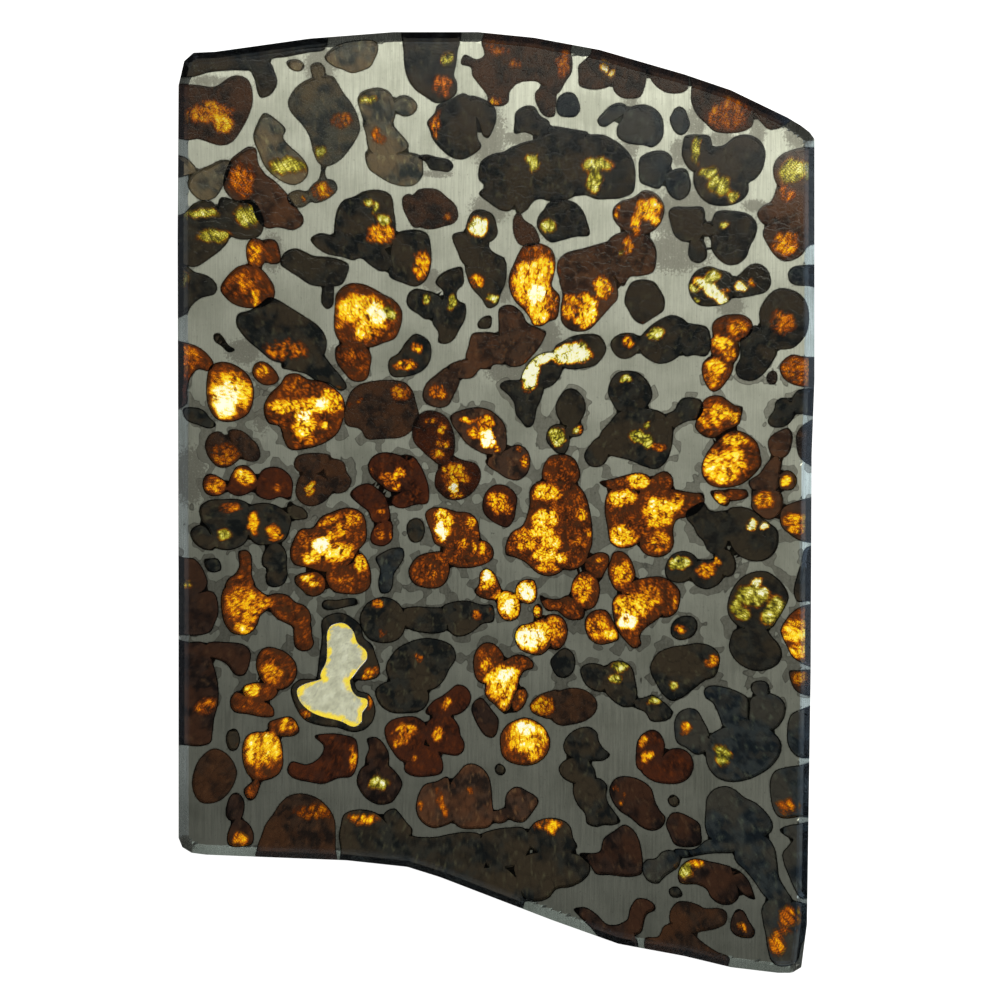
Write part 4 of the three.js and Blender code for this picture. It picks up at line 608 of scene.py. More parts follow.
    [15,-25.4, 15.6,-24.6, 16.6,-24.2, 17.4,-24.6, 17.9,-25.6, 17.9,-26.4, 17.6,-27.6, 16.6,-28.4, 15.6,-28.7,
     14.9,-28.2, 14.8,-26.8],
    [15.3,-28.5, 16.4,-28, 17.6,-27, 18.4,-26.3, 19.6,-26.2, 20.6,-26.8, 21,-28, 20.6,-29.2, 19.6,-29.9, 18,-30,
     16.4,-29.6],
    ],
    "low_dot": [
    [18.2,-31.6, 18.7,-31.1, 19.3,-31.4, 19.5,-32, 19,-32.5, 18.4,-32.2],
    ],
    "low_red_brown": [
    [18,-34.2, 18.6,-33.1, 19.4,-33, 20.6,-33.5, 21.6,-34.2, 21.8,-35.2, 21.8,-36.3, 21,-36.7, 19.6,-36.7,
     18.9,-36.4, 18.4,-35.4],
    ],
    "low_black_trio": [
    [8.9,-17.8, 9.6,-17.2, 10.8,-17.2, 11.9,-17.8, 12,-19.2, 11.4,-20.2, 10.2,-20, 9.3,-19.2],
    [11.2,-18.2, 12.2,-17, 13.4,-16.9, 14.4,-17.6, 14.8,-19, 15,-20.6, 14.6,-21.7, 13.4,-21.8, 12.2,-21, 11.3,-19.8],
    [14.6,-21, 15.6,-20.8, 16.6,-20.5, 17.6,-21.1, 18.4,-21.8, 18.8,-22.4, 18.4,-23.1, 17.4,-23.4, 16.4,-23.3,
     15.8,-22.4, 14.6,-21.8],
    ],
    "low_stub": [
    [5.7,-17, 6.2,-16.2, 7.2,-15.5, 8,-15.9, 8.4,-16.8, 8.2,-18, 7.4,-18.7, 6.4,-18.5],
    ],
    "low_black_drum": [
    [16.4,-17.2, 17.2,-16, 18.6,-15.4, 20,-15.2, 21.4,-15, 22.8,-15.3, 23.7,-16.2, 23.7,-17.4, 23.2,-18.6, 22.2,-19,
     21,-19.9, 19.8,-20.8, 18.7,-21.2, 17.6,-20.4, 16.9,-19.2, 16.4,-18.2],
    ],
    "low_black_wedge": [
    [19,-23, 19.6,-22.2, 20.6,-21.9, 21.4,-22.2, 22,-23.2, 22.6,-24.4, 22.8,-25.8, 22.1,-26.7, 21.2,-26.9,
     20.2,-26.2, 19.2,-25.6, 18.9,-24.4],
    [22.3,-25.2, 23.4,-24.3, 25,-23.6, 26.8,-23, 28.4,-23.6, 29.6,-24.6, 30.3,-25.6, 30.2,-26.8, 29.4,-28,
     28.2,-28.9, 26.6,-29.6, 24.8,-29.8, 23.4,-29.3, 22.5,-28.2, 22.2,-26.8],
    [22.1,-19.9, 22.9,-19.5, 24.4,-19.7, 25.8,-20.2, 26.8,-20.9, 26.8,-22, 26.8,-23.2, 25.4,-24.2, 24.2,-24,
     23.6,-22.6, 23,-21.4, 22.2,-20.8],
    [26.9,-22, 27,-20.9, 27.8,-20.4, 28.4,-20.2, 29.4,-20.4, 30.4,-21, 30.8,-22, 30.5,-23.2, 29.6,-24.2, 28.2,-24.4,
     26.9,-23.6],
    [27,-19.6, 27.4,-19.1, 28.4,-19, 29,-19.5, 28.9,-20.6, 28,-20.8, 27.3,-20.4],
    ],
    "low_edge_dark": [
    [30.9,-24.4, 31.2,-22.8, 32,-22.2, 34.4,-21.8, 34.2,-27, 32.6,-27.3, 31.6,-26.8, 31,-25.8],
    ],
    "low_edge_rust": [
    [31.1,-18, 31.8,-17.9, 34.4,-18.1, 34.2,-20.6, 32.6,-20.5, 31.6,-19.8],
    ],
    "low_edge_blue": [
    [29.1,-29.6, 29.6,-28.6, 30.8,-28.2, 32.2,-28, 34.2,-27.9, 34,-33.5, 32.2,-33.5, 31,-33.7, 30,-33.5, 29.4,-32.6,
     29.1,-31],
    ],
    "low_edge_foot": [
    [30.1,-34.9, 31,-34.4, 32.4,-34.2, 34,-34.1, 33.8,-36.2, 32.4,-36.1, 31.2,-35.8],
    [30.4,-37.4, 31,-36.6, 31.8,-35.8, 33.8,-36, 33.6,-42, 32.4,-42.2, 31.6,-41, 31,-39.6, 30.6,-38.6],
    ],
    "low_great_black": [
    [22.2,-33, 22.4,-31.4, 23.2,-30.5, 24.4,-30.2, 25.4,-30.6, 26.4,-31.4, 27.6,-32, 28.7,-33, 29.4,-34.2, 29.3,-35,
     28.6,-35.6, 27,-36.2, 24.6,-36.4, 22.9,-36, 22.2,-34.8],
    [25.2,-36.1, 27,-35.6, 28.6,-35.5, 29.6,-36.8, 29.9,-38.4, 30.1,-39.9, 30.8,-41.2, 31.6,-42.6, 30.4,-43,
     29.2,-42.6, 28.2,-41.6, 27.4,-40.4, 26.4,-39.2, 25.4,-38.2, 25.2,-37],
    [28.2,-43.2, 29,-42.2, 30.4,-42.4, 31.8,-42.4, 34,-43.5, 34,-45.4, 32.6,-47, 32.2,-48.6, 31.4,-49.3, 30,-49.4,
     29.2,-48.8, 28.8,-47.4, 28.6,-46, 28.3,-44.6],
    [19,-36.9, 21,-36.9, 22.4,-35.9, 24,-35.8, 25.5,-36, 25.5,-37.2, 23,-37.4, 21.6,-37.6, 20,-37.9, 19,-37.6],
    [16,-38, 16.9,-37.9, 17.6,-37.2, 18.6,-37, 19.6,-37.6, 19.4,-38.8, 18.6,-39.4, 17.9,-39.9, 17.2,-40.6,
     16.2,-40.4, 15.6,-39.6, 15.5,-38.6],
    ],
    "low_copper": [
    [19.3,-39.4, 19.8,-38.5, 21,-37.9, 22.6,-38.2, 24,-38.5, 25.2,-39, 25.6,-40.4, 25.8,-42, 25,-42.8, 23.8,-42.8,
     22.8,-42.1, 22.3,-41.2, 21.2,-40.7, 20,-40.7, 19.4,-40.4],
    [25,-39, 25.8,-39.2, 26.8,-40.2, 27.3,-41.4, 27.5,-42.3, 26.6,-42, 25.7,-41.2, 25.2,-40.4],
    ],
    "low_tick": [
    [18.3,-41.3, 18.8,-40.9, 19.4,-41, 19.8,-41.8, 19.4,-42.1, 18.6,-42],
    ],
    "low_edge_brown": [
    [13,-45, 13.9,-44.4, 14.2,-43.2, 14.9,-42.2, 15.9,-42.2, 16.8,-42.8, 16.9,-43.4, 16,-43.9, 15.7,-44.8,
     15.4,-45.8, 14.4,-46.2, 13.4,-46],
    [8.2,-43.3, 9.4,-43.1, 10.6,-43.8, 11.8,-44.9, 13.4,-45, 14.6,-45.8, 15,-47.8, 11.6,-47, 9.9,-45.2, 8.9,-44.2],
    ],
    "low_edge_rust_pair": [
    [18.4,-44.6, 18.5,-43.4, 19.3,-42.5, 20.4,-42.5, 21.4,-42.8, 22.2,-43.2, 23.8,-43.2, 24.5,-43.7, 24.4,-44.8,
     23.4,-45.4, 21.9,-45.7, 20.6,-46, 19,-45.6],
    [15.8,-46.4, 17.2,-46.2, 17.8,-45.1, 19,-44.8, 20.6,-45.6, 21.8,-46.7, 23.4,-47.8, 24.8,-48.5, 24.2,-50,
     20,-49.2, 16.2,-48.4],
    ],
    "low_bead": [
    [25.2,-43.8, 25.6,-43.3, 26.3,-43.5, 26.9,-44.6, 27.5,-45.6, 27.3,-46.3, 26.4,-46.4, 25.4,-46.1, 24.9,-45.5,
     24.9,-44.6],
    ],
    "low_brown_block": [
    [-4.1,-28.8, -3.4,-28, -2.6,-27.8, -1.6,-28.2, -0.8,-29.2, -0.5,-30.6, -0.4,-32.2, -0.2,-33.6, -0.8,-34.6,
     -2.2,-34.8, -3.8,-34.7, -4.8,-33.8, -5.1,-32.2, -5.1,-30.6, -4.8,-29.6],
    [-8.6,-32.3, -8.2,-30.8, -7.6,-30, -6.4,-29.7, -5.2,-29.2, -4.8,-30.6, -4.8,-32.6, -4.6,-33.9, -5.6,-34.5,
     -6.8,-34.7, -7.8,-34.2, -8.4,-33.4],
    [0.9,-32.6, 1,-31.2, 1.7,-30.4, 2.4,-30.3, 3.4,-30.8, 4.2,-31.3, 4.5,-31.9, 4,-32.8, 3.4,-33.6, 2.8,-34.1,
     1.8,-34, 1,-33.4],
    [-0.7,-33, 0.3,-32.7, 1.2,-32.4, 1.4,-33.6, 0.6,-34.2, -0.5,-34],
    ],
    "low_bottom_band": [
    [-16.6,-34.4, -16.3,-33.3, -15.4,-32.8, -14.2,-32.7, -12.9,-33, -12,-33.7, -11.2,-34.8, -10.6,-36, -10.4,-37.6,
     -10.6,-39.6, -16.6,-39.4, -16.6,-37, -16.8,-35.6],
    [-12.1,-33.4, -11.6,-32.8, -10.8,-32.6, -10.2,-33.2, -9.6,-34, -8.9,-34.9, -9.4,-35.8, -10.8,-35.6, -11.6,-34.6],
    [-10.8,-35.3, -9.2,-35.4, -8.4,-35.6, -6.4,-35.6, -5,-35.3, -3.4,-35.1, -1.8,-35.3, -1,-36.4, -1,-38.2,
     -1.6,-40, -2.6,-42, -6,-41, -10.8,-39.8],
    [-1.8,-35.5, -0.2,-34.8, 1.4,-34.6, 2.8,-34.6, 3.4,-35.2, 3.8,-36.4, 3.2,-37.6, 2,-38.8, 0.6,-39, -1,-38.8,
     -1.6,-37.2],
    [3.2,-35.4, 3.9,-34.2, 4.9,-33.7, 6,-33.6, 7.2,-33.9, 7.9,-34.6, 8.2,-35.8, 8.6,-36.6, 8,-37.4, 6.4,-37.7,
     4.6,-37.4, 3.4,-36.6],
    [1.8,-38.6, 3.2,-37.5, 5,-37.2, 7.6,-37.2, 9.6,-38, 10,-39.2, 9.2,-40.3, 7.8,-41, 6.4,-41.2, 5.6,-42.1,
     4.6,-42.5, 3.2,-42.4, 2.4,-41.2, 2,-40],
    [-2.4,-39.2, -0.8,-38.8, 0.8,-38.8, 2.1,-39.9, 2.6,-41.2, 3,-42.6, 2.2,-44, -0.4,-43.4, -2.8,-42],
    ],
    "low_brown_slab": [
    [8.8,-37.4, 10.9,-37.2, 11.4,-35.8, 12.6,-34.9, 13.6,-34.3, 14.6,-34.9, 15.2,-36, 15.5,-37.4, 15.6,-38.6,
     15.4,-39.6, 14,-39.9, 12,-39.7, 10.6,-39.6, 9.9,-38.6],
    ],
    "low_left_dark": [
    [-34.6,-14.9, -32.6,-14.9, -31,-15, -30.4,-16.4, -30,-17.6, -29.6,-19.4, -29.6,-21.4, -30,-23, -30.2,-24.6,
     -30.4,-25.6, -31.6,-26, -33,-25.9, -34.6,-25.6],
    [-31.4,-16.4, -30.8,-15, -28.6,-14.9, -27,-15.1, -26.2,-15.8, -26.2,-17, -26.8,-18.4, -27.8,-18.4, -28.8,-17.2,
     -30,-16.7],
    ],
    "low_left_fire": [
    [-25.6,-17, -25.2,-15.9, -24.4,-15.4, -23.2,-15.6, -22.2,-16.1, -21.3,-17.2, -21.3,-18.6, -22,-19.6, -22.8,-20,
     -23.9,-19.9, -24.9,-19.2, -25.5,-18],
    [-27.2,-20.2, -26.8,-19.5, -25.8,-19.2, -24.6,-19.2, -23.2,-19.8, -23.4,-20.6, -24.2,-21.2, -25.6,-21.2,
     -26.6,-20.8],
    [-28.3,-20.8, -27.6,-20.1, -26.8,-20.5, -25.4,-21, -24.2,-21.4, -23.7,-22, -23.7,-22.8, -25,-22.9, -26.4,-22.6,
     -27.8,-22.4, -28.3,-21.8],
    ],
    "low_left_gold": [
    [-27.1,-26.8, -26.8,-25.2, -26,-24.5, -24.8,-24.4, -23.6,-24.3, -22.9,-25.4, -22.7,-26.8, -22.7,-28, -23.2,-29,
     -24.4,-29.6, -25.8,-29.6, -26.7,-28.6],
    [-24.3,-23.5, -23.2,-23, -22,-22.8, -21.4,-23.2, -21,-24, -21,-24.5, -21.6,-24.9, -22.8,-25, -24,-24.9],
    [-26.9,-30.6, -26.2,-29.9, -25.6,-29.4, -25,-29.6, -25.2,-30.4, -25.6,-31.4, -26.2,-31.8, -26.7,-31.4],
    ],
    "low_ember_ring": [
    [-19.4,-24.9, -17.6,-24.6, -16,-24.8, -15,-25.2, -14.7,-26.4, -14.8,-28, -15.4,-29.2, -16.8,-29.4, -18.4,-30,
     -20,-29.8, -21.6,-29.4, -22.3,-28.6, -21.8,-27.6, -20.2,-27.9, -18.9,-27.2, -18.4,-26],
    ],
    "low_left_knob": [
    [-28.8,-25.4, -28.6,-24.4, -27.8,-24.1, -27.4,-24.6, -27.3,-25.6, -27.7,-26.4, -28.4,-26.4],
    ],
    "low_left_tall": [
    [-32.4,-29.6, -31.9,-27.8, -31,-26.7, -30,-26.2, -28.9,-26.6, -28,-27.6, -27.6,-28.8, -28,-30.2, -28.9,-31.4,
     -30,-32, -31.4,-32, -32.2,-31],
    ],
    "low_left_bulb": [
    [-28.8,-32.6, -28.3,-31.2, -27.6,-30.9, -26.9,-31.6, -26.8,-32.6, -27.2,-33.8, -28.1,-34, -28.7,-33.6],
    [-28.7,-35.8, -28.4,-34.6, -27.7,-33.6, -26.9,-33.8, -26.2,-34.4, -25.8,-35.4, -26,-36.4, -27,-36.7,
     -28.4,-36.6],
    ],
    "low_left_great_brown": [
    [-25,-35.4, -24.6,-34.3, -23.8,-33.2, -23,-32, -22,-31.2, -20.6,-31, -19,-31.5, -17.8,-32.6, -17.2,-33.8,
     -17.1,-35, -17.1,-36.6, -17.2,-38.8, -21,-38.6, -25.6,-38.4, -25.5,-36.8],
    ],
    "low_ginger": [
    [-14.9,-29.6, -14.4,-28.3, -13.4,-27.8, -12,-27.7, -10.8,-28.6, -10,-29.9, -10.4,-31, -11.2,-32, -12.6,-32.2,
     -13.8,-31.6, -14.6,-30.6],
    [-13.8,-25.2, -12.8,-25, -11.9,-25.8, -11.4,-27, -11.6,-28, -13,-28.2, -14,-27.6, -13.6,-26.2],
    ],
    "centre_top_lit": [
    [4.3,29.3, 4.4,30.3, 5,31.1, 5.6,31.9, 7,32.2, 8.3,31.9, 9.2,31, 9.6,30, 9.9,28.4, 8.4,28.2, 6.9,27.8, 5.8,27.6,
     5,28.2],
    ],
    "brown_by_yellow": [
    [1.8,28.6, 1.8,30.2, 2.4,30.9, 3,30, 3.9,29.4, 4.4,28.6, 4.6,27.6, 3.4,27.2, 2.4,27.4],
    ],
    "low_orange_heart": [
    [9.4,-12.6, 9.9,-11.8, 10.8,-11.4, 11.8,-11.6, 12.4,-12.6, 12.9,-13.6, 13,-14.6, 12.2,-15, 11,-15.2, 10,-14.7,
     9.5,-13.8],
    ],
}

# Solids whose crystals have more than one clump in them. Every other solid is named after its own clump.
grownTogether = {
    "olivine_left_yellow_red": ["left_grey", "red_brown_left", "left_lit_yellow", "left_edge_black"],
    "olivine_left_long_chain": ["orange_left_pair", "left_black_long", "left_lit_wide"],
    "olivine_left_lit_round": ["left_edge_orange", "left_lit_round"],
    "olivine_top_rainbow_bowl": ["top_rainbow", "top_dark_bowl"],
    "olivine_black_centre_top": ["black_centre_top", "centre_top_lit"],
    "olivine_centre_yellow_brown": ["centre_yellow", "mid_brown_small"],
    "olivine_left_lit_fire": ["left_black_finger", "left_lit_fire"],
    "olivine_mid_brown_ember": ["mid_brown_left", "centre_ember_left"],
    "olivine_right_band_column": ["right_black_band", "right_orange_column", "right_dark_large"],
    "olivine_mid_black_lit_right": ["mid_black_right", "mid_lit_right"],
    "olivine_centre_fire_column": ["centre_fire_large", "centre_dark_column", "right_edge_reds"],
    "olivine_centre_pyramid": ["mid_round_olive", "centre_pyramid"],
    "olivine_window_rim": ["window_rim", "low_dark_mass"],
    "olivine_low_great_black": ["low_red_brown", "low_great_black"],
    "olivine_low_bottom_band": ["low_brown_slab", "low_bottom_band"],
}

# The clear crystal that fills the window, seen through from face to face.
windowGrains = [
    [-17.6, -13.2, -16.3, -12.9, -15.3, -13.7, -14.8, -15, -13.9, -15.8, -13.8, -16.6, -14.6, -17.6,
     -15.6, -18.9, -17, -20, -18.7, -18.6, -18.1, -17, -18, -15.4, -18, -14],
    [-19, -19, -17.2, -18.4, -15.8, -18.8, -15.4, -20, -14.8, -20.7, -13.8, -21, -13.8, -21.7,
     -14.3, -22.4, -14.4, -23.4, -15.2, -23.9, -16.6, -23.3, -18.6, -22.8, -19.9, -22.2, -20.9, -21.2,
     -21.2, -20, -20.4, -19.4],
]

# What each clump is by itself, before any light shows in it. Those not named are dark.
clumpTone = {
    "grey": "left_grey wedge_grey top_grey_brown top_grey_dome top_small_pair top_dark_column",
    "brown": "left_brown red_brown_left top_brown_large top_edge_brown top_right_red mid_brown_left "
             "mid_brown_small mid_brown_ball right_edge_reds right_edge_lower_red centre_brown_ember "
             "left_ember_red low_edge_rust low_edge_rust_pair low_brown_block "
             "low_left_great_brown low_left_tall "
             "upper_left_brown brown_by_yellow low_rose_pair "
             "right_lit_edge centre_lit_orange right_red_dot",
    "amber": "orange_left_pair left_orange_small left_lit_round left_lit_wide left_edge_orange "
             "centre_yellow left_lit_fire right_orange_column mid_lit_right centre_fire_large "
             "centre_fire_lower centre_yellow_small right_edge_amber right_edge_honey centre_pyramid "
             "centre_white_hot centre_cone_trio mid_great_fire left_fire_crown mid_fire_twin low_flame "
             "low_yellow_round low_left_fire low_left_gold low_orange_heart",
    "ember": "centre_round_red low_ember_ring low_fire_branch low_orange_pair centre_ember_left "
             "left_ember_pair mid_dark_rings",
    "blue": "low_edge_blue low_edge_foot low_edge_dark right_edge_small top_right_black_pair "
            "top_round_black top_right_oval top_right_small low_great_black low_black_wedge "
            "mid_black_hook",
    "umber": "low_ginger low_dark_ember low_left_dark low_left_bulb low_brown_drop low_red_brown "
             "low_bead low_brown_slab low_copper left_edge_yellow low_edge_brown",
}

# Where light comes through, by how bright it is: middle x and y, half width, half height, and turn in degrees if
# there is one.
glows = {
    "white": [
        (-28.9,11, 1.1,1.6), (-20.7,9.3, 0.7,0.5), (-18.6,10.6, 0.5,0.5), (-12.8,20.1, 0.8,1),
        (-2,29.4, 0.8,0.8), (11.4,46.1, 0.3,0.3), (12.2,45.7, 0.25,0.25), (4.2,22.2, 0.8,0.9),
        (3.7,13.9, 0.7,1.6, -15), (5,15.4, 1.2,0.5, 30), (7.9,15.8, 1.6,0.8), (-0.9,6.7, 0.6,0.8),
        (23.2,22.3, 1.9,0.5, -40), (26,22.9, 0.5,0.4), (-18.7,-4.7, 0.8,0.7), (-4.5,1.5, 0.4,0.4),
        (-5.9,-3, 0.4,0.9), (3.2,-9.6, 0.7,0.8), (3.5,-14.4, 1.4,0.9), (14,-12.7, 0.8,0.7), (27.8,-8.5, 0.4,0.4),
        (28.4,-9.6, 0.5,0.3), (3,-24.1, 0.8,0.6), (1,-18.4, 0.7,0.6), (-12.3,-29.9, 0.25,0.25),
        (27.3,-2.4, 0.4,0.5), (28.7,-2.6, 0.35,0.3), (1.2,-11, 0.5,0.6), (-1.1,-7.9, 0.4,0.5),
    ],
    "yellow": [
        (-29.1,40.3, 0.9,0.8), (-28.4,11.6, 2,1.9), (-22.8,10.2, 1.2,0.7), (-19.5,10.3, 3,0.7),
        (-17.5,11.3, 1.1,0.8), (-20.5,8, 1.1,1), (-18.3,8, 0.5,0.3), (-14.6,20.6, 2.2,1.4),
        (-14.2,18.6, 0.9,1.2), (-12,30.1, 0.6,0.5), (-0.3,21.7, 0.7,0.35), (4.3,24.6, 2,1.2),
        (3.6,22.8, 1.8,1.6), (4.5,20.3, 1,1.4), (5.5,29.4, 0.7,0.6), (9.3,21.9, 0.5,0.5), (9.9,20.4, 0.9,1.3),
        (9.2,19.3, 0.8,0.6), (11.3,22.8, 0.8,1), (9.2,16.3, 0.4,0.8), (10.6,36, 1.3,0.6), (10.5,34.2, 0.7,1),
        (16.2,31.3, 1.2,0.9), (16.9,30, 0.5,0.5), (17,17.9, 0.7,0.6), (23.1,24, 0.7,0.6), (20.9,22.8, 0.5,0.4),
        (21.3,21.6, 0.3,0.3), (24,17, 1,0.6), (23.5,14.4, 0.9,0.8), (24,9.6, 0.9,0.7), (25.3,9, 0.5,0.5),
        (25.3,6.6, 1.2,0.6), (25,4.2, 1.5,1.3), (23,4, 0.9,1.3), (24,2.6, 1.3,0.6), (-27,2.7, 0.9,0.7),
        (-27,-13.6, 0.9,0.5), (-19.8,1.4, 0.5,0.6), (-19.6,-5.9, 0.9,0.6), (-17,-5.3, 1.5,0.9),
        (-14.5,-6.2, 0.6,1), (-20.3,-8, 0.6,0.4), (-19.3,-8.8, 0.5,0.3), (-5.5,3.6, 0.3,0.3),
        (-4.8,2.8, 0.3,0.3), (-4.3,0.6, 0.6,0.25), (5.5,1, 1.4,0.7), (5.2,-1.8, 1.2,1), (4.8,-3.2, 1.2,0.6),
        (5.6,-4.2, 1,0.8), (5.3,-5.6, 1.1,0.8), (7,-5.9, 0.5,0.5), (-5.9,-1.5, 0.6,0.9), (-5.2,-2.3, 0.5,1),
        (-2.7,-2.1, 0.4,0.5), (-1.1,-7.9, 0.8,1), (1.3,-11, 1,1.2), (4.3,-11.6, 0.35,0.8), (4.9,-13.6, 0.8,0.7),
        (12.3,-14.3, 0.5,0.4), (15.2,2.3, 1.1,0.7), (13.3,0.4, 1.5,0.7), (17.5,-0.6, 1.7,0.9),
        (17.4,-1.9, 1.2,0.8), (13.4,-3.6, 1.3,1), (24,0.3, 0.6,0.5), (19.5,-6.5, 1,0.6), (14.5,-11, 1.8,1.1),
        (29.5,-11.6, 0.8,1.4, -30), (31.8,-13.8, 1.3,1), (32,-16, 0.9,0.7), (30.8,2.3, 0.5,0.5),
        (-26.2,-19.9, 0.9,0.7), (-25,-25.2, 1.4,0.7), (1,-18.6, 1.4,1), (1.2,-20, 0.5,1), (0.8,-21.6, 0.5,0.5),
        (2.3,-25.5, 0.6,0.5), (4.6,-25.3, 0.9,0.8), (3.8,-26.7, 0.9,0.7), (12.8,-18.8, 0.6,0.4),
        (13.2,-17.5, 0.8,0.5), (16.8,-21.2, 0.6,0.35), (-12.6,-30, 0.9,0.6), (18.9,-19.5, 0.4,0.4),
        (8.6,7.5, 0.3,0.3), (20,-39.3, 0.8,0.7), (-1.1,-7.9, 1.1,1.3), (1.3,-11, 1.5,1.6), (3.2,-9.6, 1.3,1.4),
        (3.5,-14.2, 2.2,1.5), (12.1,-14.1, 0.7,0.5), (0.6,-19.2, 1.5,1.6), (3.4,-25, 1.9,1.7),
        (-25,-26.3, 1.9,1.5),
    ],
    "olive": [
        (-22.3,35.9, 1.6,0.7), (-24.3,35.2, 0.6,0.25), (-18.7,37.3, 0.5,0.5), (-13.7,32, 0.4,0.4),
        (-12.9,31.3, 0.25,0.6), (-13.8,42.9, 0.8,0.3), (-5.2,47.3, 0.6,0.6), (3.9,36.3, 0.6,0.8),
        (21.3,37.8, 0.4,1.4), (22.6,35.1, 0.9,0.5), (25.2,32.6, 0.5,0.5), (24.2,29.6, 0.5,0.3),
        (-33.4,23.7, 0.5,0.7), (-11.4,20.2, 0.6,0.6), (-7.5,21.6, 0.35,0.5), (-4.7,21.3, 0.4,0.7),
        (6.5,7, 0.75,0.85), (13.8,13.1, 0.6,0.35), (15.2,7, 0.8,0.6), (16.1,6.6, 0.5,0.7), (16,8.3, 0.3,0.3),
        (27.3,-10, 1.5,0.9), (25.4,-11, 0.5,0.6), (26.3,-12, 0.7,0.6), (24.1,-27, 0.7,0.9),
        (-29.1,-3.4, 0.6,0.5), (13.4,26.7, 0.25,0.25), (31.5,35.3, 1.2,1.1), (-26.6,30.5, 1,1),
        (-31.2,30.8, 1.5,0.4), (-30.2,28.4, 1.4,0.6), (23.8,33.8, 1,0.9), (-33.3,-8.8, 0.7,0.4),
    ],
    "orange": [
        (-30.5,41.5, 2,1), (-18.5,33.1, 1,0.8), (-20.6,32.3, 0.25,0.25), (-12.3,28.6, 1.3,0.9),
        (-8,25.3, 0.8,1.3), (-0.2,42.6, 0.6,0.5), (-6.7,39.4, 0.3,0.6), (11.5,36, 0.8,0.6), (14.9,29.5, 0.5,1),
        (12.9,31, 0.3,0.8), (-25.9,26.6, 0.8,1.2), (-25.8,21.8, 0.5,0.9), (-24.9,14, 0.6,0.8),
        (-28.6,13.3, 1.6,0.6), (-17,19.5, 0.8,1), (-12.6,18.5, 0.8,0.8), (-2.2,23.6, 0.8,0.6), (6.2,21.5, 0.6,1),
        (7.7,20.8, 1,1.1), (14.1,27.3, 0.5,0.9), (-9.6,14.6, 1.1,0.5), (-8.5,16.5, 0.5,0.5), (9.1,7.8, 0.5,0.5),
        (-3.2,8.7, 0.7,0.3), (-1.3,8.5, 0.9,0.6), (-1.8,7.5, 1,0.7), (0,5.7, 0.3,0.4), (-7,8.6, 0.6,0.3),
        (-5.8,7.8, 0.4,0.5), (-5.8,6.2, 0.7,0.4), (-6.5,5.1, 0.8,0.4), (2.3,5.7, 0.3,0.3), (3.1,4.3, 0.4,0.7),
        (14.1,17, 0.5,0.6), (24.3,22.6, 0.5,0.25), (27.3,23.4, 0.3,0.4), (23,13, 1,0.9), (22.8,9, 1.3,1),
        (25.6,18.7, 0.9,0.7), (24.8,15.9, 0.7,0.8), (-30,1.8, 0.9,0.9), (-25.9,-2.2, 0.5,1.1),
        (-23.7,-3.3, 0.7,0.8), (-26.8,-11, 2,1.8), (-24.6,-10.6, 0.6,0.6), (-16.8,-3, 1.6,0.6, 35),
        (-15.2,-1.9, 0.9,0.8), (-18,-2, 1.1,0.4, 30), (-10.3,3, 0.6,0.5), (-10.6,1.6, 0.4,0.3),
        (-12.4,-1.1, 0.4,0.3), (-12.6,-3.5, 0.5,0.5), (-11.2,-3.5, 0.2,0.6), (-12.8,-10.8, 0.5,0.5),
        (-4.4,2.9, 1.2,1.1), (3,-4, 1.1,1.2), (5.5,-7, 1.2,0.5), (9,-1.2, 0.6,0.6), (9.8,-3.4, 0.3,0.5),
        (8.6,-4.3, 0.3,0.3), (-3.6,-4.6, 0.4,0.5), (-2.4,-4.8, 0.2,0.6), (-1.5,-4.7, 0.4,0.8),
        (6.3,-13.3, 0.9,1), (9.2,-9.2, 1.1,1.3), (10.8,-13.4, 1.2,1.2), (11,-6.3, 0.35,0.35), (17.3,-4.3, 1.2,1),
        (19.4,0.3, 0.7,0.6), (22.3,-7.3, 0.9,0.7), (23.5,-6.4, 0.4,0.4), (16.3,-10, 1.2,1),
        (19.1,-10.8, 0.3,0.7), (13.3,-7.6, 1.1,1.1), (19.6,-13.6, 0.6,0.4), (31.5,-1.8, 0.9,0.6),
        (32,-3, 0.7,0.5), (-24,-18, 1.3,0.6), (-25,-27, 1.9,1.3), (-22.3,-23.7, 1,0.7),
        (-20.5,-22.6, 0.8,0.4, 30), (-13.7,-18.5, 0.5,0.8), (-13.5,-21, 0.4,0.9), (-15.3,-27.5, 0.35,1.3),
        (-14.3,-33.8, 1.4,0.5), (-27.3,-36, 0.7,0.6), (-5.4,-21.4, 0.4,0.6), (-9.8,-24.4, 1.2,0.7),
        (-10.2,-25.5, 0.7,0.6), (-8.9,-27.3, 0.3,0.3), (-6.3,-24.8, 0.5,0.7), (-0.6,-20.6, 0.7,0.9),
        (2.5,-20.8, 0.4,0.7), (-1.1,-17.5, 0.5,0.9), (4.8,-21.8, 1.2,0.9), (5.3,-34.3, 1.3,0.6),
        (5.9,-35, 0.4,0.5), (23,-17, 0.7,0.6), (20.1,-24.2, 0.5,0.6), (15.6,-25.4, 0.5,0.6), (16,-27.1, 0.7,0.5),
        (32.4,-18.8, 0.9,0.7), (21.3,-38.4, 0.7,0.5), (26.3,-45.4, 0.4,0.4), (30.8,27.6, 1.2,1.1), (0.2,0, 1,1),
        (28.6,0.2, 1,0.8),
    ],
    "red": [
        (-27.2,34.3, 1.2,1.6), (-26.8,23.6, 1.3,0.8), (-27,22.4, 0.3,0.3), (-16.5,40.7, 1,0.7),
        (-12.6,39, 0.7,0.7), (-6.6,40.7, 0.6,1.3), (-5.1,30.5, 0.4,0.4), (24.6,41.2, 2,1.6), (31,33, 0.7,0.9),
        (-22.5,16.2, 2,1), (-24.3,16.6, 0.3,0.3), (-33,15.5, 1.3,1.2), (-21.5,12.5, 1.4,1), (-20,6.8, 1.2,0.6),
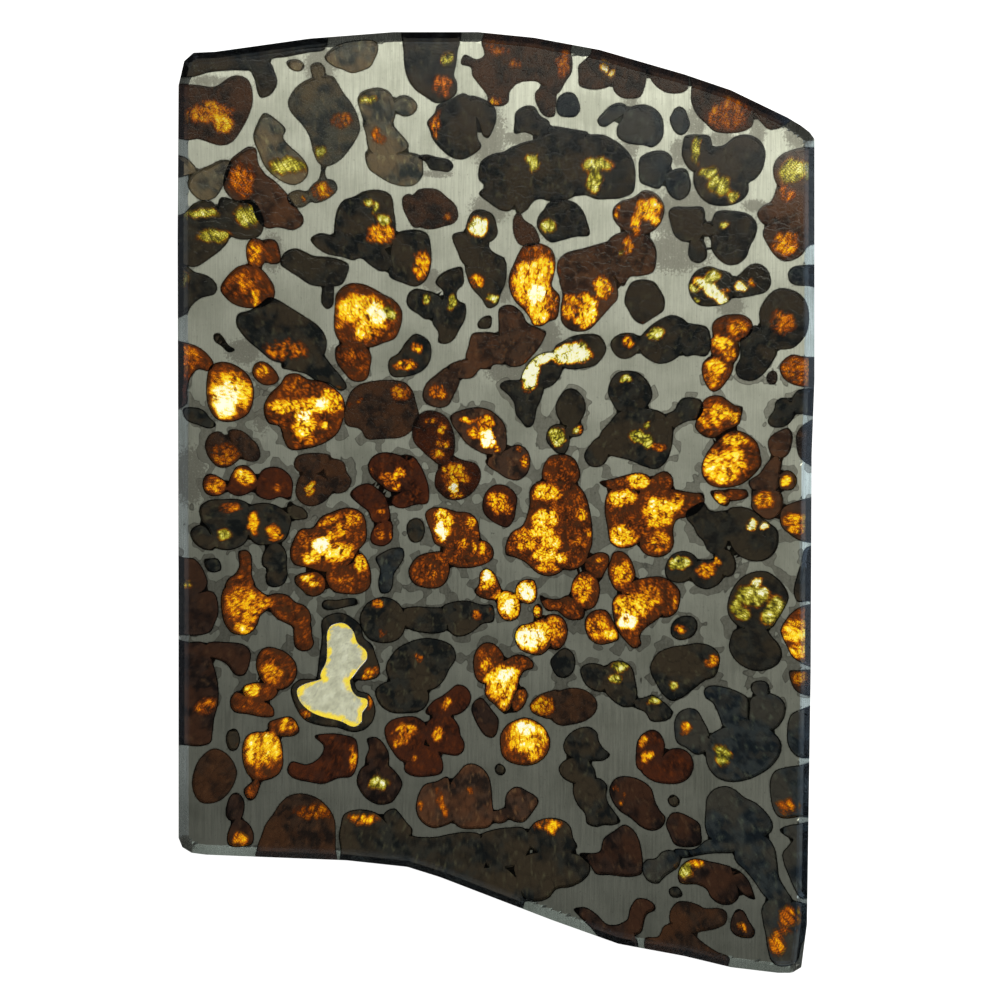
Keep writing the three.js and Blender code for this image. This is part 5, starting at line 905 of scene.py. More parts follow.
        (-15.6,15.8, 0.6,0.6), (-10,11.8, 1.2,0.9), (-14.6,10.9, 0.3,0.3), (4.3,26.8, 1.5,0.7),
        (3.6,27.1, 0.3,0.3), (-6.3,11.7, 0.9,0.8), (15.6,19, 0.3,0.3), (30.5,19.2, 1.2,1.1), (17.3,5.8, 0.7,0.4),
        (-29,5, 1.3,1.1), (-23.4,1.5, 0.4,0.4), (-28.5,-0.6, 1,0.5), (-20.8,-4, 1,1), (-16,-8.3, 0.8,0.7),
        (-13.4,3.4, 0.3,0.3), (-11.6,2.5, 0.8,0.8), (-12.3,-14, 0.4,0.4), (-0.2,0.4, 0.7,0.4), (0.6,-0.7, 1,0.7),
        (-2.1,-3.5, 0.4,0.4), (-6.8,-7.5, 0.6,0.9), (-2,-12, 0.5,0.5), (-8.3,-16.5, 0.4,0.4), (-24,-19, 1,0.5),
        (-31,-21.8, 1,0.8), (-12.8,-18.3, 0.4,0.6), (-19.2,-33, 2,0.7), (-2.8,-30.6, 0.3,0.3),
        (-5.8,-32.2, 0.4,1.4, 20), (-8.2,-32.2, 0.5,0.5), (12.7,-30.5, 0.35,0.35), (13.6,-31.3, 0.25,0.25),
        (13.4,-32, 0.25,0.25), (31,-32.5, 0.9,0.7), (31,-44.5, 0.8,1.3), (29.9,-47, 0.8,1.2), (32,14.2, 1.5,1.6),
        (-5.8,44.4, 0.9,1.1), (-0.3,48.3, 1.6,0.5), (2.1,46.7, 0.8,0.4), (7.1,46.6, 0.7,1.3),
    ],
}
# What each tone of crystal is made of: its own colour, the warmth that shows all over it, and the finish of the
# small crystals that have it.
toneLook = {
    "dark": {"colour": (39, 39, 34), "warmth": 0.0, "kind": "dark"},
    "grey": {"colour": (80, 79, 67), "warmth": 0.0, "kind": "dark"},
    "brown": {"colour": (62, 46, 35), "warmth": 0.06, "kind": "brown"},
    "amber": {"colour": (68, 41, 22), "warmth": 0.3, "kind": "amber"},
    "ember": {"colour": (54, 30, 20), "warmth": 0.2, "kind": "amber"},
    "umber": {"colour": (42, 31, 25), "warmth": 0.0, "kind": "dark"},
    "blue": {"colour": (41, 46, 46), "warmth": 0.0, "kind": "dark"},
}


def paint(red, green, blue):
    # A colour as read off a screen, in the linear light that the shaders work in: the lowest numbers are divided
    # by 12.92, the others are raised to the power of 2.4.
    return tuple((c / 255 / 12.92) if c < 11 else ((c / 255 + 0.055) / 1.055) ** 2.4 for c in (red, green, blue))


# Outlines and distances

def measured(flat):
    # x and y in turn as pairs, moved by the slab's shift
    return np.array(flat, float).reshape(-1, 2) + slabLook["shift"]


def smoothLoop(flat, spacing):
    # Closed curve through the points: between two points a cubic whose ends point along the chord of their
    # neighbours, then walked at even steps.
    points = measured(flat)
    chord = np.roll(points, -1, 0) - points
    length = np.hypot(*chord.T)[:, None]
    slope = (np.roll(points, -1, 0) - np.roll(points, 1, 0)) / (length + np.roll(length, 1, 0))
    t = np.linspace(0, 1, 14, endpoint=False)[None, :, None]
    start, end = points[:, None], np.roll(points, -1, 0)[:, None]
    leave, arrive = (slope * length)[:, None], (np.roll(slope, -1, 0) * length)[:, None]
    curve = (start * (2 * t**3 - 3 * t**2 + 1) + leave * (t**3 - 2 * t**2 + t)
             + end * (3 * t**2 - 2 * t**3) + arrive * (t**3 - t**2)).reshape(-1, 2)
    closed = np.vstack([curve, curve[:1]])
    walked = np.concatenate([[0], np.cumsum(np.hypot(*np.diff(closed, axis=0).T))])
    count = max(24, int(walked[-1] / spacing))
    at = np.arange(count) / count * walked[-1]
    return np.column_stack([np.interp(at, walked, closed[:, axis]) for axis in (0, 1)])


def loopDistance(points, loop):
    # How far each point is from a closed loop, below zero inside it, and the nearest spot on the loop:
    # the foot of the perpendicular on each side of the loop, kept between that side's ends, the least of all.
    # A point is inside when a line from it to the right crosses the loop an odd number of times.
    side = np.roll(loop, -1, 0) - loop
    away = np.empty(len(points))
    spot = np.empty((len(points), 2))
    for rows in np.array_split(np.arange(len(points)), len(points) * len(loop) // 3000000 + 1):
        offset = points[rows, None] - loop[None]
        share = np.clip((offset * side).sum(2) / (side**2).sum(1), 0, 1)
        gap = offset - share[..., None] * side
        distance = np.hypot(gap[..., 0], gap[..., 1])
        nearest = distance.argmin(1)
        pick = np.arange(len(rows)), nearest
        spot[rows] = points[rows] - gap[pick]
        low = loop[None, :, 1] <= points[rows, None, 1]
        high = np.roll(loop, -1, 0)[None, :, 1] <= points[rows, None, 1]
        rise = np.where(side[:, 1] == 0, 1e-9, side[:, 1])
        crossing = (low != high) & (offset[..., 0] < offset[..., 1] * side[:, 0] / rise)
        away[rows] = distance[pick] * np.where(crossing.sum(1) % 2 == 1, -1, 1)
    return away, spot


def nearestLoop(points, loops, reach=np.inf):
    # The least distance to several loops, and the spot it is measured to. A point farther than reach from all of
    # them has reach as its distance and itself as its spot.
    away, spot = np.full(len(points), reach), points.copy()
    for loop in loops:
        near = np.flatnonzero(((points > loop.min(0) - reach) & (points < loop.max(0) + reach)).all(1))
        oneAway, oneSpot = loopDistance(points[near], loop)
        closer = oneAway < away[near]
        away[near[closer]] = oneAway[closer]
        spot[near[closer]] = oneSpot[closer]
    return away, spot


slabLoop = measured(slabOutline)


def insideSlab(points):
    # How far in from the slab's rim each point is, below zero outside, and the nearest spot on the rim
    away, spot = loopDistance(points, slabLoop)
    return -away, spot


def onBevel(inset):
    # 1 on the bevel, and 0 from an eighth of a millimetre inside of it
    return np.clip((slabLook["bevelRun"] - inset) * 8, 0, 1)


def sheetHeights(inset):
    # The two faces are flat, and within the bevel's run of the rim both fall towards the middle of the slab.
    fall = slabLook["bevelDrop"] * np.clip(1 - inset / slabLook["bevelRun"], 0, 1)
    return slabLook["thickness"] - fall, fall


def fitToSlab(points, free):
    # Points past the rim are drawn back to it, and free points close to the bevel's inner line are moved onto it.
    inset, spot = insideSlab(points)
    outside = inset < 0
    points = np.where(outside[:, None], spot, points)
    inward = (points - spot) / np.maximum(np.abs(inset), 1e-6)[:, None]
    offLine = slabLook["bevelRun"] - inset
    close = free & ~outside & (np.abs(offLine) < slabLook["bevelSnap"])
    points = np.where(close[:, None], points + inward * offLine[:, None], points)
    return points, np.where(close, slabLook["bevelRun"], np.maximum(inset, 0))


# Plates: a grid of points whose cells are kept or dropped

def gridOver(low, high, step):
    # Even steps in x and y, from one step below the low corner to past the high one
    x = np.arange(low[0] - step, high[0] + 2 * step, step)
    y = np.arange(low[1] - step, high[1] + 2 * step, step)
    return np.stack(np.meshgrid(x, y, indexing="ij"), 2)


def cellHas(flags):
    # A cell counts when any of its four corners does.
    return flags[:-1, :-1] | flags[1:, :-1] | flags[1:, 1:] | flags[:-1, 1:]


def plate(shape, points, top, low, keep, fields):
    # The kept cells of a grid as a top sheet and a back sheet, and an upright wall between the sheets along every
    # cell side that has no kept cell beyond it.
    number = np.arange(shape[0] * shape[1]).reshape(shape)
    a, b, c, d = number[:-1, :-1], number[1:, :-1], number[1:, 1:], number[:-1, 1:]
    under = number.size
    quads = [np.stack([a, b, c, d], 2)[keep], np.stack([d, c, b, a], 2)[keep] + under]
    beyond = np.pad(keep, 1)
    for start, end, other in ((a, b, beyond[1:-1, :-2]), (b, c, beyond[2:, 1:-1]),
                              (c, d, beyond[1:-1, 2:]), (d, a, beyond[:-2, 1:-1])):
        edge = keep & ~other
        quads.append(np.column_stack([start[edge] + under, end[edge] + under, end[edge], start[edge]]))
    both = np.vstack([np.column_stack([points, top]), np.column_stack([points, low])])
    used, quads = np.unique(np.vstack(quads), return_inverse=True)
    fields = {key: np.concatenate([value, value])[used] for key, value in fields.items()}
    return both[used], quads.reshape(-1, 4), fields


def joinPlates(plates):
    # The points one after the other, with each plate's faces counted on from the plates before it
    counts = np.cumsum([0] + [len(one[0]) for one in plates])
    points = np.vstack([one[0] for one in plates])
    quads = np.vstack([one[1] + start for one, start in zip(plates, counts)])
    return points, quads, {key: np.concatenate([one[2][key] for one in plates]) for key in plates[0][2]}


def addPiece(name, points, quads, fields, finish):
    # A mesh of four-sided faces, with each field as an attribute of its points
    mesh = bpy.data.meshes.new(name)
    mesh.vertices.add(len(points))
    mesh.vertices.foreach_set("co", (points * mm).astype(np.float32).ravel())
    mesh.loops.add(quads.size)
    mesh.loops.foreach_set("vertex_index", quads.astype(np.int32).ravel())
    mesh.polygons.add(len(quads))
    mesh.polygons.foreach_set("loop_start", np.arange(0, quads.size, 4, dtype=np.int32))
    # flat shading, because the sheets are flat and the bevel's edges crisp
    mesh.polygons.foreach_set("use_smooth", np.zeros(len(quads), bool))
    mesh.update(calc_edges=True)
    for key, value in fields.items():
        kind, slotName = ("FLOAT_VECTOR", "vector") if value.ndim == 2 else ("FLOAT", "value")
        spots = mesh.attributes.new(key, kind, "POINT").data
        spots.foreach_set(slotName, value.astype(np.float32).ravel())
    mesh.materials.append(finish)
    piece = bpy.data.objects.new(name, mesh)
    bpy.context.scene.collection.objects.link(piece)
    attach(piece, "root")
    return piece


# Shader nodes

class Finish:
    # A material, with short ways to put nodes into it. The colours of stops and blend are as read off a screen.

    def __init__(self, name):
        self.material = bpy.data.materials.new(name)
        self.material.use_nodes = True
        self.tree = self.material.node_tree
        self.shader = self.tree.nodes["Principled BSDF"]

    def put(self, kind, values=None, **settings):
        # A node, with its settings, and with links or plain values at its inputs
        node = self.tree.nodes.new(kind)
        for key, value in settings.items():
            setattr(node, key, value)
        for key, value in (values or {}).items():
            if isinstance(value, bpy.types.NodeSocket):
                self.tree.links.new(value, node.inputs[key])
            else:
                node.inputs[key].default_value = value
        return node.outputs

    def drive(self, colour, roughness):
        self.tree.links.new(colour, self.shader.inputs["Base Color"])
        self.tree.links.new(roughness, self.shader.inputs["Roughness"])

    def field(self, name):
        # One of the fields that a plate carries on its points
        return self.put("ShaderNodeAttribute", attribute_name=name)["Fac"]

    def place(self, x=1, y=1, z=1):
        # Where a point of the slice is, in millimetres. A stretch below 1 draws a pattern out that way.
        return self.put("ShaderNodeMapping", {"Vector": self.put("ShaderNodeTexCoord")["Object"],
                                              "Scale": (1000 * x, 1000 * y, 1000 * z)})[0]

    def noise(self, place, scale, detail, roughness=0.5):
        # Like cells, a flat pattern that is the same at every depth
        values = {"Vector": place, "Scale": scale, "Detail": detail, "Roughness": roughness}
        return self.put("ShaderNodeTexNoise", values, noise_dimensions="2D")

    def cells(self, place, scale, feature="F1"):
        values = {"Vector": place, "Scale": scale}
        return self.put("ShaderNodeTexVoronoi", values, voronoi_dimensions="2D", feature=feature)

    def count(self, operation, *numbers):
        # A sum, difference, product and so on of plain numbers and links
        return self.put("ShaderNodeMath", dict(enumerate(numbers)), operation=operation)[0]

    def between(self, value, low, high, toLow=0.0, toHigh=1.0):
        # To low below low, to high above high, and an S curve from one to the other
        values = {"Value": value, "From Min": low, "From Max": high, "To Min": toLow, "To Max": toHigh}
        return self.put("ShaderNodeMapRange", values, interpolation_type="SMOOTHSTEP")[0]

    def blend(self, share, first, second):
        # The second colour over the first, by its share
        second = (*paint(*second), 1) if isinstance(second, tuple) else second
        return self.put("ShaderNodeMix", {0: share, 6: first, 7: second}, data_type="RGBA")[2]

    def tinted(self, colour, tint):
        # Each of red, green and blue times its number in the tint
        values = {0: 1.0, 6: colour, 7: (*tint, 1)}
        return self.put("ShaderNodeMix", values, data_type="RGBA", blend_type="MULTIPLY")[2]

    def stops(self, value, colours):
        # Colours at places from 0 to 1, and even steps between them
        ramp = self.tree.nodes.new("ShaderNodeValToRGB")
        self.tree.links.new(value, ramp.inputs[0])
        elements = ramp.color_ramp.elements
        elements.remove(elements[1])
        elements[0].position = colours[0][0]
        elements[0].color = (*paint(*colours[0][1]), 1)
        for position, colour in colours[1:]:
            elements.new(position).color = (*paint(*colour), 1)
        return ramp.outputs[0]

    def bump(self, height, strength, distance):
        # Distance is the height of a full step, in millimetres.
        values = {"Height": height, "Strength": strength, "Distance": distance * mm}
        self.tree.links.new(self.put("ShaderNodeBump", values)[0], self.shader.inputs["Normal"])

    def absorb(self, colour, density):
        volume = self.put("ShaderNodeVolumeAbsorption", {"Color": (*colour, 1), "Density": density})[0]
        self.tree.links.new(volume, self.tree.nodes["Material Output"].inputs["Volume"])


# The crystals

grainLook = {
    "step": 0.24,  # grid spacing of the crystals' faces
    "spacing": 0.2,  # between two points of an outline
    "proud": (0.008, 0.016),  # how far the harder crystals stand above the metal
    "rimFall": 0.005,  # the polish rounds each crystal's edge by this much
    "rimWidth": 0.12,
    "openingSlack": 0.04,  # round the window's own crystal
    "lampSheenFrom": 28,  # from here rightwards, over the run, the crystals on the slab's bevel take on the full painted reflection of the bluish right lamp; elsewhere they keep the least share of it
    "lampSheenRun": 3,
    "lampSheenLeast": 0.2,
}
glowLook = {
    "heats": {"white": 1.6, "yellow": 0.78, "olive": 0.72, "orange": 0.56, "red": 0.42},
    "reach": 1.75,  # where a glow is gone, in times its oval's size
    "wave": 0.09,
}


def glowFields(points, warmth):
    # Heat is the strongest of the placed glows at a point: full in the middle of its oval and gone a little past
    # its edge. Olive is the same for the yellow-green ones alone, and in a crystal without warmth for the white
    # and yellow ones too. A slow wave pulls the ovals out of true.
    x, y = points.T
    wave = np.column_stack([np.sin(y * 1.9) + np.sin(y * 4.3 + 1), np.sin(x * 2.1) + np.sin(x * 4.7 + 2)])
    points = points + glowLook["wave"] * wave
    heat = np.full(len(points), float(warmth))
    olive = np.zeros(len(points))
    for kind, patches in glows.items():
        patch = np.array([(*place, 0)[:5] for place in patches])
        turn = np.radians(patch[:, 4])
        x = points[:, None, 0] - patch[:, 0] - slabLook["shift"][0]
        y = points[:, None, 1] - patch[:, 1] - slabLook["shift"][1]
        along = (x * np.cos(turn) + y * np.sin(turn)) / patch[:, 2]
        across = (y * np.cos(turn) - x * np.sin(turn)) / patch[:, 3]
        fall = np.clip(glowLook["reach"] - np.hypot(along, across), 0, 1)
        strength = (fall * fall * (3 - 2 * fall)).max(1)
        heat = np.maximum(heat, strength * glowLook["heats"][kind])
        if kind == "olive" or warmth == 0 and kind in ("white", "yellow"):
            olive = np.maximum(olive, strength)
    return heat, olive


def grainPlate(loops, tone, proud, openings=()):
    # One clump of grains as a plate: the grid cells that reach inside its outlines, with the points outside drawn
    # in to the outline. An opening is cut out of it the same way, a hair wider than its loop.
    everything = np.vstack(loops)
    low, high = np.maximum(everything.min(0), slabLoop.min(0)), np.minimum(everything.max(0), slabLoop.max(0))
    grid = gridOver(low, high, grainLook["step"])
    shape = grid.shape[:2]
    points = grid.reshape(-1, 2)
    away, spot = nearestLoop(points, loops)
    slack = grainLook["openingSlack"]
    for loop in openings:
        oneAway, oneSpot = loopDistance(points, loop)
        within = slack - oneAway > away
        outward = (points - oneSpot) / np.where(np.abs(oneAway) < 1e-6, 1e-6, oneAway)[:, None]
        away = np.where(within, slack - oneAway, away)
        spot = np.where(within[:, None], oneSpot + slack * outward, spot)
    keep = cellHas(((away < 0) & (insideSlab(points)[0] > 0)).reshape(shape))
    depth = np.maximum(-away, 0)
    points, inset = fitToSlab(np.where((away > 0)[:, None], spot, points), depth > 0.1)
    top, low = sheetHeights(inset)
    top = top + proud - grainLook["rimFall"] * np.exp(-((depth / grainLook["rimWidth"]) ** 2))
    heat, olive = glowFields(points, toneLook[tone]["warmth"])
    ground = np.tile(paint(*toneLook[tone]["colour"]), (len(points), 1))
    # The bevel field here is the share of a painted reflection of the bluish right lamp: full at the right edge, the
    # least share elsewhere.
    lampSheenShare = (points[:, 0] - grainLook["lampSheenFrom"]) / grainLook["lampSheenRun"]
    bevel = onBevel(inset) * np.clip(lampSheenShare, grainLook["lampSheenLeast"], 1)
    fields = {"lit": heat, "olive": olive, "rim": depth, "bevel": bevel, "ground": ground}
    return plate(shape, points, top, low, keep, fields)


# Light that comes through, from cold to hot, in warm crystals and in yellow-green ones
fireRamp = [
    (0.0, (8, 7, 6)), (0.14, (38, 20, 12)), (0.28, (94, 44, 16)), (0.38, (164, 78, 14)), (0.48, (216, 128, 12)),
    (0.57, (240, 178, 14)), (0.68, (252, 212, 22)), (0.8, (255, 230, 40)), (0.92, (255, 244, 110)),
    (1.0, (254, 254, 236)),
]
oliveRamp = [
    (0.0, (8, 9, 6)), (0.25, (40, 36, 10)), (0.5, (130, 118, 24)), (0.75, (222, 214, 84)), (1.0, (244, 244, 218)),
]
# Crack and rim colours, and the bevel colour, which is a painted reflection of the bluish right lamp.
veinAndSheenLook = {"crack": (10, 9, 9), "rim": (14, 13, 12), "bevel": (92, 110, 130), "bevelSheenShare": 0.55}
# Tints are for the duller patches, the warmer patches and the painted glints. Cells are crackle cells to the
# millimetre.
olivineLooks = {
    "olivine_dark": {
        "cells": 0.75, "tints": ((0.3, 0.36, 0.44), (1.6, 1.2, 0.9), (4.0, 3.8, 2.6)), "roughness": (0.09, 0.2),
        "bump": 0.1, "specular": 0.1, "shine": (0.3, 0.31, 0.33), "clear": 1.0, "absorb": None,
    },
    "olivine_brown": {
        "cells": 0.8, "tints": ((0.34, 0.4, 0.5), (1.5, 1.15, 0.85), (2.8, 2.3, 1.7)), "roughness": (0.14, 0.3),
        "bump": 0.15, "specular": 0.1, "shine": (0.4, 0.4, 0.4), "clear": 0.7, "absorb": None,
    },
    "olivine_amber": {
        "cells": 0.95, "tints": ((0.45, 0.45, 0.5), (1.45, 1.15, 0.9), (2.8, 2.4, 1.7)), "roughness": (0.05, 0.14),
        "bump": 0.1, "specular": 0.16, "shine": (0.6, 0.6, 0.6), "clear": 1.0, "absorb": ((1.0, 0.9, 0.62), 40.0),
    },
}


def olivineFinish(name, look):
    # Crackled crystal: its own patchy colour with painted glints in it, over it the glow where its heat is high, and
    # on the bevel a painted reflection of the right lamp.
    mix = Finish(name)
    count, between, blend, noise = mix.count, mix.between, mix.blend, mix.noise
    place = mix.place(1, 1, 0.35)
    rim = mix.field("rim")
    ground = mix.put("ShaderNodeAttribute", attribute_name="ground")["Color"]
    warp = noise(place, 0.8, 3.0, 0.6)["Color"]
    values = {0: warp, 1: (1.3, 1.3, 1.3), 2: place}
    pulled = mix.put("ShaderNodeVectorMath", values, operation="MULTIPLY_ADD")[0]
    cracks = mix.cells(pulled, look["cells"], "DISTANCE_TO_EDGE")["Distance"]
    fineCracks = mix.cells(pulled, look["cells"] * 2.7, "DISTANCE_TO_EDGE")["Distance"]
    flake = mix.put("ShaderNodeSeparateColor", {0: mix.cells(pulled, look["cells"] * 1.7)["Color"]})[0]
    # Upright streaks, where glints are painted and a little more light comes through
    glintStreaks = noise(mix.place(1, 0.6, 0.35), 1.7, 2.5, 0.6)["Fac"]
    mottle = noise(place, 0.55, 4.0, 0.65)["Fac"]
    slow = noise(place, 0.21, 3.0)["Fac"]
    grit = noise(place, 5.0, 4.0)["Fac"]
    # What lights a crystal is uneven, by shares of itself: cracks are cooler, and cells and patches differ.
    # The crystal's rim is cooler too.
    lit = mix.field("lit")
    heat = lit
    for pattern, low, high, cool, warm in (
            (cracks, 0.0, 0.12, -0.2, 0.0), (fineCracks, 0.0, 0.24, -0.42, 0.06), (flake, 0.0, 1.0, -0.14, 0.12),
            (mottle, 0.3, 0.7, -0.12, 0.14), (glintStreaks, 0.35, 0.65, -0.2, 0.16)):
        heat = count("ADD", heat, count("MULTIPLY", lit, between(pattern, low, high, cool, warm)))
    heat = count("MULTIPLY", heat, between(rim, 0.0, 0.45, 0.5, 1.0))
    glow = blend(between(mix.field("olive"), 0.2, 0.8), mix.stops(heat, fireRamp), mix.stops(heat, oliveRamp))
    duller, warmer, glintTone = [mix.tinted(ground, tint) for tint in look["tints"]]
    patchy = blend(between(mottle, 0.42, 0.56), ground, duller)
    patchy = blend(between(slow, 0.47, 0.6, 0.0, 0.9), patchy, warmer)
    patchy = blend(between(flake, 0.45, 0.95, 0.0, 0.5), patchy, warmer)
    # painted glints: the ground colour brightened along the streaks
    patchy = blend(between(glintStreaks, 0.58, 0.72, 0.0, 0.4), patchy, glintTone)
    patchy = blend(between(cracks, 0.0, 0.05, 0.5, 0.0), patchy, veinAndSheenLook["crack"])
    colour = blend(between(heat, 0.1, 0.3), patchy, glow)
    colour = blend(between(rim, 0.0, 0.18, 0.28, 0.0), colour, veinAndSheenLook["rim"])
    # Painted reflection: the bluish right lamp as seen in the bevel, blended into the crystal's colour.
    bevelLampSheen = count("MULTIPLY", mix.field("bevel"), veinAndSheenLook["bevelSheenShare"])
    colour = blend(bevelLampSheen, colour, veinAndSheenLook["bevel"])  # painted reflection of the bluish right lamp on the bevel
    mix.drive(colour, between(grit, 0.3, 0.75, *look["roughness"]))
    mix.bump(count("ADD", count("MULTIPLY", grit, 0.35), between(cracks, 0.0, 0.08)), look["bump"], 0.04)
    shader = mix.shader
    shader.inputs["IOR"].default_value = 1.65
    shader.inputs["Specular IOR Level"].default_value = look["specular"]
    shader.inputs["Specular Tint"].default_value = (*look["shine"], 1)
    shader.inputs["Transmission Weight"].default_value = look["clear"]
    if look["absorb"]:
        mix.absorb(*look["absorb"])
    return mix.material


toneOf = {clump: tone for tone, names in clumpTone.items() for clump in names.split()}
spacing = grainLook["spacing"]
loopsOf = {clump: [smoothLoop(flat, spacing) for flat in grains] for clump, grains in grainOutlines.items()}
windowLoops = [smoothLoop(flat, spacing) for flat in windowGrains]
crystalFinishes = {slot: olivineFinish(slot, look) for slot, look in olivineLooks.items()}
steady = np.random.default_rng(11)  # the same draws each time
print("crystal finishes mixed,", len(loopsOf), "clumps of crystal")


def clumpPlate(clump, openings=()):
    # A clump with its own tone, which stands as proud of the metal as the next draw says
    return grainPlate(loopsOf[clump], toneOf.get(clump, "dark"), steady.uniform(*grainLook["proud"]), openings)


# The crystals that are solids of their own
slotOf = {part["node"]: part["material_slot"] for part in frame["record"]["subparts"]}
besideWindow = ("olivine_window_rim", "olivine_low_left_fire")
smallClumps = set(loopsOf)
for node in sorted(frame["nodes"]):
    if node in ("metal_matrix", "olivine_window_clear"):
        continue
    clumps = grownTogether.get(node, [node.removeprefix("olivine_")])
    smallClumps.difference_update(clumps)
    plates = [clumpPlate(clump, windowLoops if node in besideWindow else ()) for clump in clumps]
    piece = addPiece(node.replace("olivine", "crystal"), *joinPlates(plates), crystalFinishes[slotOf[node]])
    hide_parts(node)
print("crystals of the solids grown")

# The clear window

windowLook = {
    "tone": "amber",
    "proud": 0.01,
    "clear": [(0.25, (166, 166, 144)), (0.5, (192, 193, 168)), (0.75, (212, 213, 192))],
    "edge": (250, 222, 70),
    "speck": (88, 78, 60),
    "scratch": (120, 116, 104),
    "absorb": ((0.97, 0.96, 0.9), 25.0),
}


def windowFinish(name):
    # Clear crystal: pale and cloudy, with specks, a few fine scratches, and a ragged yellow edge.
    mix = Finish(name)
    between, blend = mix.between, mix.blend
    place = mix.place(1, 1, 0.3)
    cloud = mix.noise(place, 0.9, 6.0, 0.65)["Fac"]
    speck = mix.cells(place, 2.4)["Distance"]
    scratch = mix.cells(mix.place(2.2, 0.35, 0.2), 0.7, "DISTANCE_TO_EDGE")["Distance"]
    ragged = mix.count("ADD", mix.field("rim"), between(cloud, 0.35, 0.65, 0.3, -0.3))
    colour = mix.stops(cloud, windowLook["clear"])
    colour = blend(between(ragged, 0.1, 0.5, 1.0, 0.0), colour, windowLook["edge"])
    colour = blend(between(speck, 0.04, 0.12, 0.75, 0.0), colour, windowLook["speck"])
    colour = blend(between(scratch, 0.0, 0.02, 0.35, 0.0), colour, windowLook["scratch"])
    mix.drive(colour, between(cloud, 0.3, 0.7, 0.03, 0.1))
    mix.bump(cloud, 0.2, 0.04)
    shader = mix.shader
    shader.inputs["IOR"].default_value = 1.65
    shader.inputs["Specular IOR Level"].default_value = 0.3
    shader.inputs["Transmission Weight"].default_value = 1.0
    mix.absorb(*windowLook["absorb"])
    return mix.material


windowPlate = grainPlate(windowLoops, windowLook["tone"], windowLook["proud"])
window = addPiece("crystal_window_clear", *windowPlate, windowFinish("olivine_clear"))
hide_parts("olivine_window_clear")
print("window set")

# The small crystals, which are in no solid, in one piece for each band of the slice and each kind of finish

bandEdges = {"upper": 20, "middle": -12, "lower": -100}  # a band is above this height
smallBands = {}
for clump in sorted(smallClumps):
    height = np.mean([loop[:, 1].mean() for loop in loopsOf[clump]])
    band = next(band for band, edge in bandEdges.items() if height > edge)
    kind = toneLook[toneOf.get(clump, "dark")]["kind"]
    smallBands.setdefault((band, kind), []).append(clump)
for (band, kind), clumps in sorted(smallBands.items()):
    plates = [clumpPlate(clump) for clump in clumps]
    piece = addPiece(f"small_crystals_{band}_{kind}", *joinPlates(plates), crystalFinishes["olivine_" + kind])
print("small crystals grown,", len(smallClumps), "clumps")

# The metal, one sheet with an opening for every crystal

metalLook = {
    "step": 0.32,  # grid spacing of the sheet
    "reach": 1.6,  # how far from a crystal its distance still counts
    "underlap": 0.11,  # how far the metal runs in under the crystals' edges
    "backRise": 0.02,
    "mattBand": (-24, -17, 9, 17),  # matt zones beside the crystals: none, full, full, none at these heights
    "greyShare": 0.8,
    "polish": [(0.3, (178, 180, 168)), (0.5, (196, 198, 186)), (0.7, (208, 210, 198))],
    "brush": (138, 138, 130),
    "speck": (92, 90, 84),
    "matt": ((110, 107, 98), (136, 134, 126)),
    "hairline": (60, 58, 54),
    "seam": (38, 36, 32),
}
# Ovals in which the metal shows mid grey instead of its bright polish: low x, high x, low y, high y.
greyMetal = [
    (-32, -29, 44.3, 45.2), (-20, -17.5, 45, 48), (-24.8, -23, 25, 28), (-28.3, -25.5, 15, 17),
    (-25.8, -24.3, 8, 12), (-18.5, -16.5, 13.5, 16), (-16.2, -14.5, 11, 13), (-7.6, -5, 34.6, 35.2),
    (-2.4, 0.5, 36.5, 41.5), (1, 4, 38.2, 39.2), (-2.2, 0.8, 30, 32.4), (13.6, 15, 37, 43),
    (18.7, 20.2, 36, 38.2), (17.5, 22.8, 28, 32.8), (20.3, 22, 39.3, 41.6), (23, 25, 38, 39.2),
    (27.2, 28.5, 38.5, 41.5), (26.5, 28.5, 31, 32), (31, 33.3, 38, 40.3), (-7.6, -6, 22.5, 24.5),
    (0.3, 1.4, 21.5, 24), (-0.5, 2.8, 13, 14.7), (4.5, 6.5, 16, 19), (16.5, 22, 25, 28),
    (23.8, 26, 20, 21.7), (-34, -31.3, 0.5, 5), (-21.2, -18, -3, -0.4), (2.6, 3.8, -12.6, -11),
]


def metalPlate(loops):
    # The grid cells that reach outside of all crystals, with the points deep in a crystal drawn out to the
    # underlap. Grey is full in an oval and gone at twice its size.
    underlap = metalLook["underlap"]
    grid = gridOver(slabLoop.min(0), slabLoop.max(0), metalLook["step"])
    shape = grid.shape[:2]
    points = grid.reshape(-1, 2)
    away, spot = nearestLoop(points, loops, metalLook["reach"])
    keep = cellHas(((away > -underlap) & (insideSlab(points)[0] > 0)).reshape(shape))
    deep = away < -underlap
    drawn = spot + (points - spot) / np.maximum(np.abs(away), 1e-6)[:, None] * underlap
    points, inset = fitToSlab(np.where(deep[:, None], drawn, points), ~deep & (np.abs(away) > 0.2))
    top, low = sheetHeights(inset)
    x, y = (points - slabLook["shift"]).T
    grey = np.zeros(len(points))
    for lowX, highX, lowY, highY in greyMetal:
        reach = np.hypot((x * 2 - lowX - highX) / (highX - lowX), (y * 2 - lowY - highY) / (highY - lowY))
        grey = np.maximum(grey, np.clip(2 - reach, 0, 1) * metalLook["greyShare"])
    matt = np.interp(y, metalLook["mattBand"], (0, 1, 1, 0))
    fields = {"gap": np.maximum(away, 0), "grey": grey, "bevel": onBevel(inset), "matt": matt}
    return plate(shape, points, top, low + metalLook["backRise"], keep, fields)


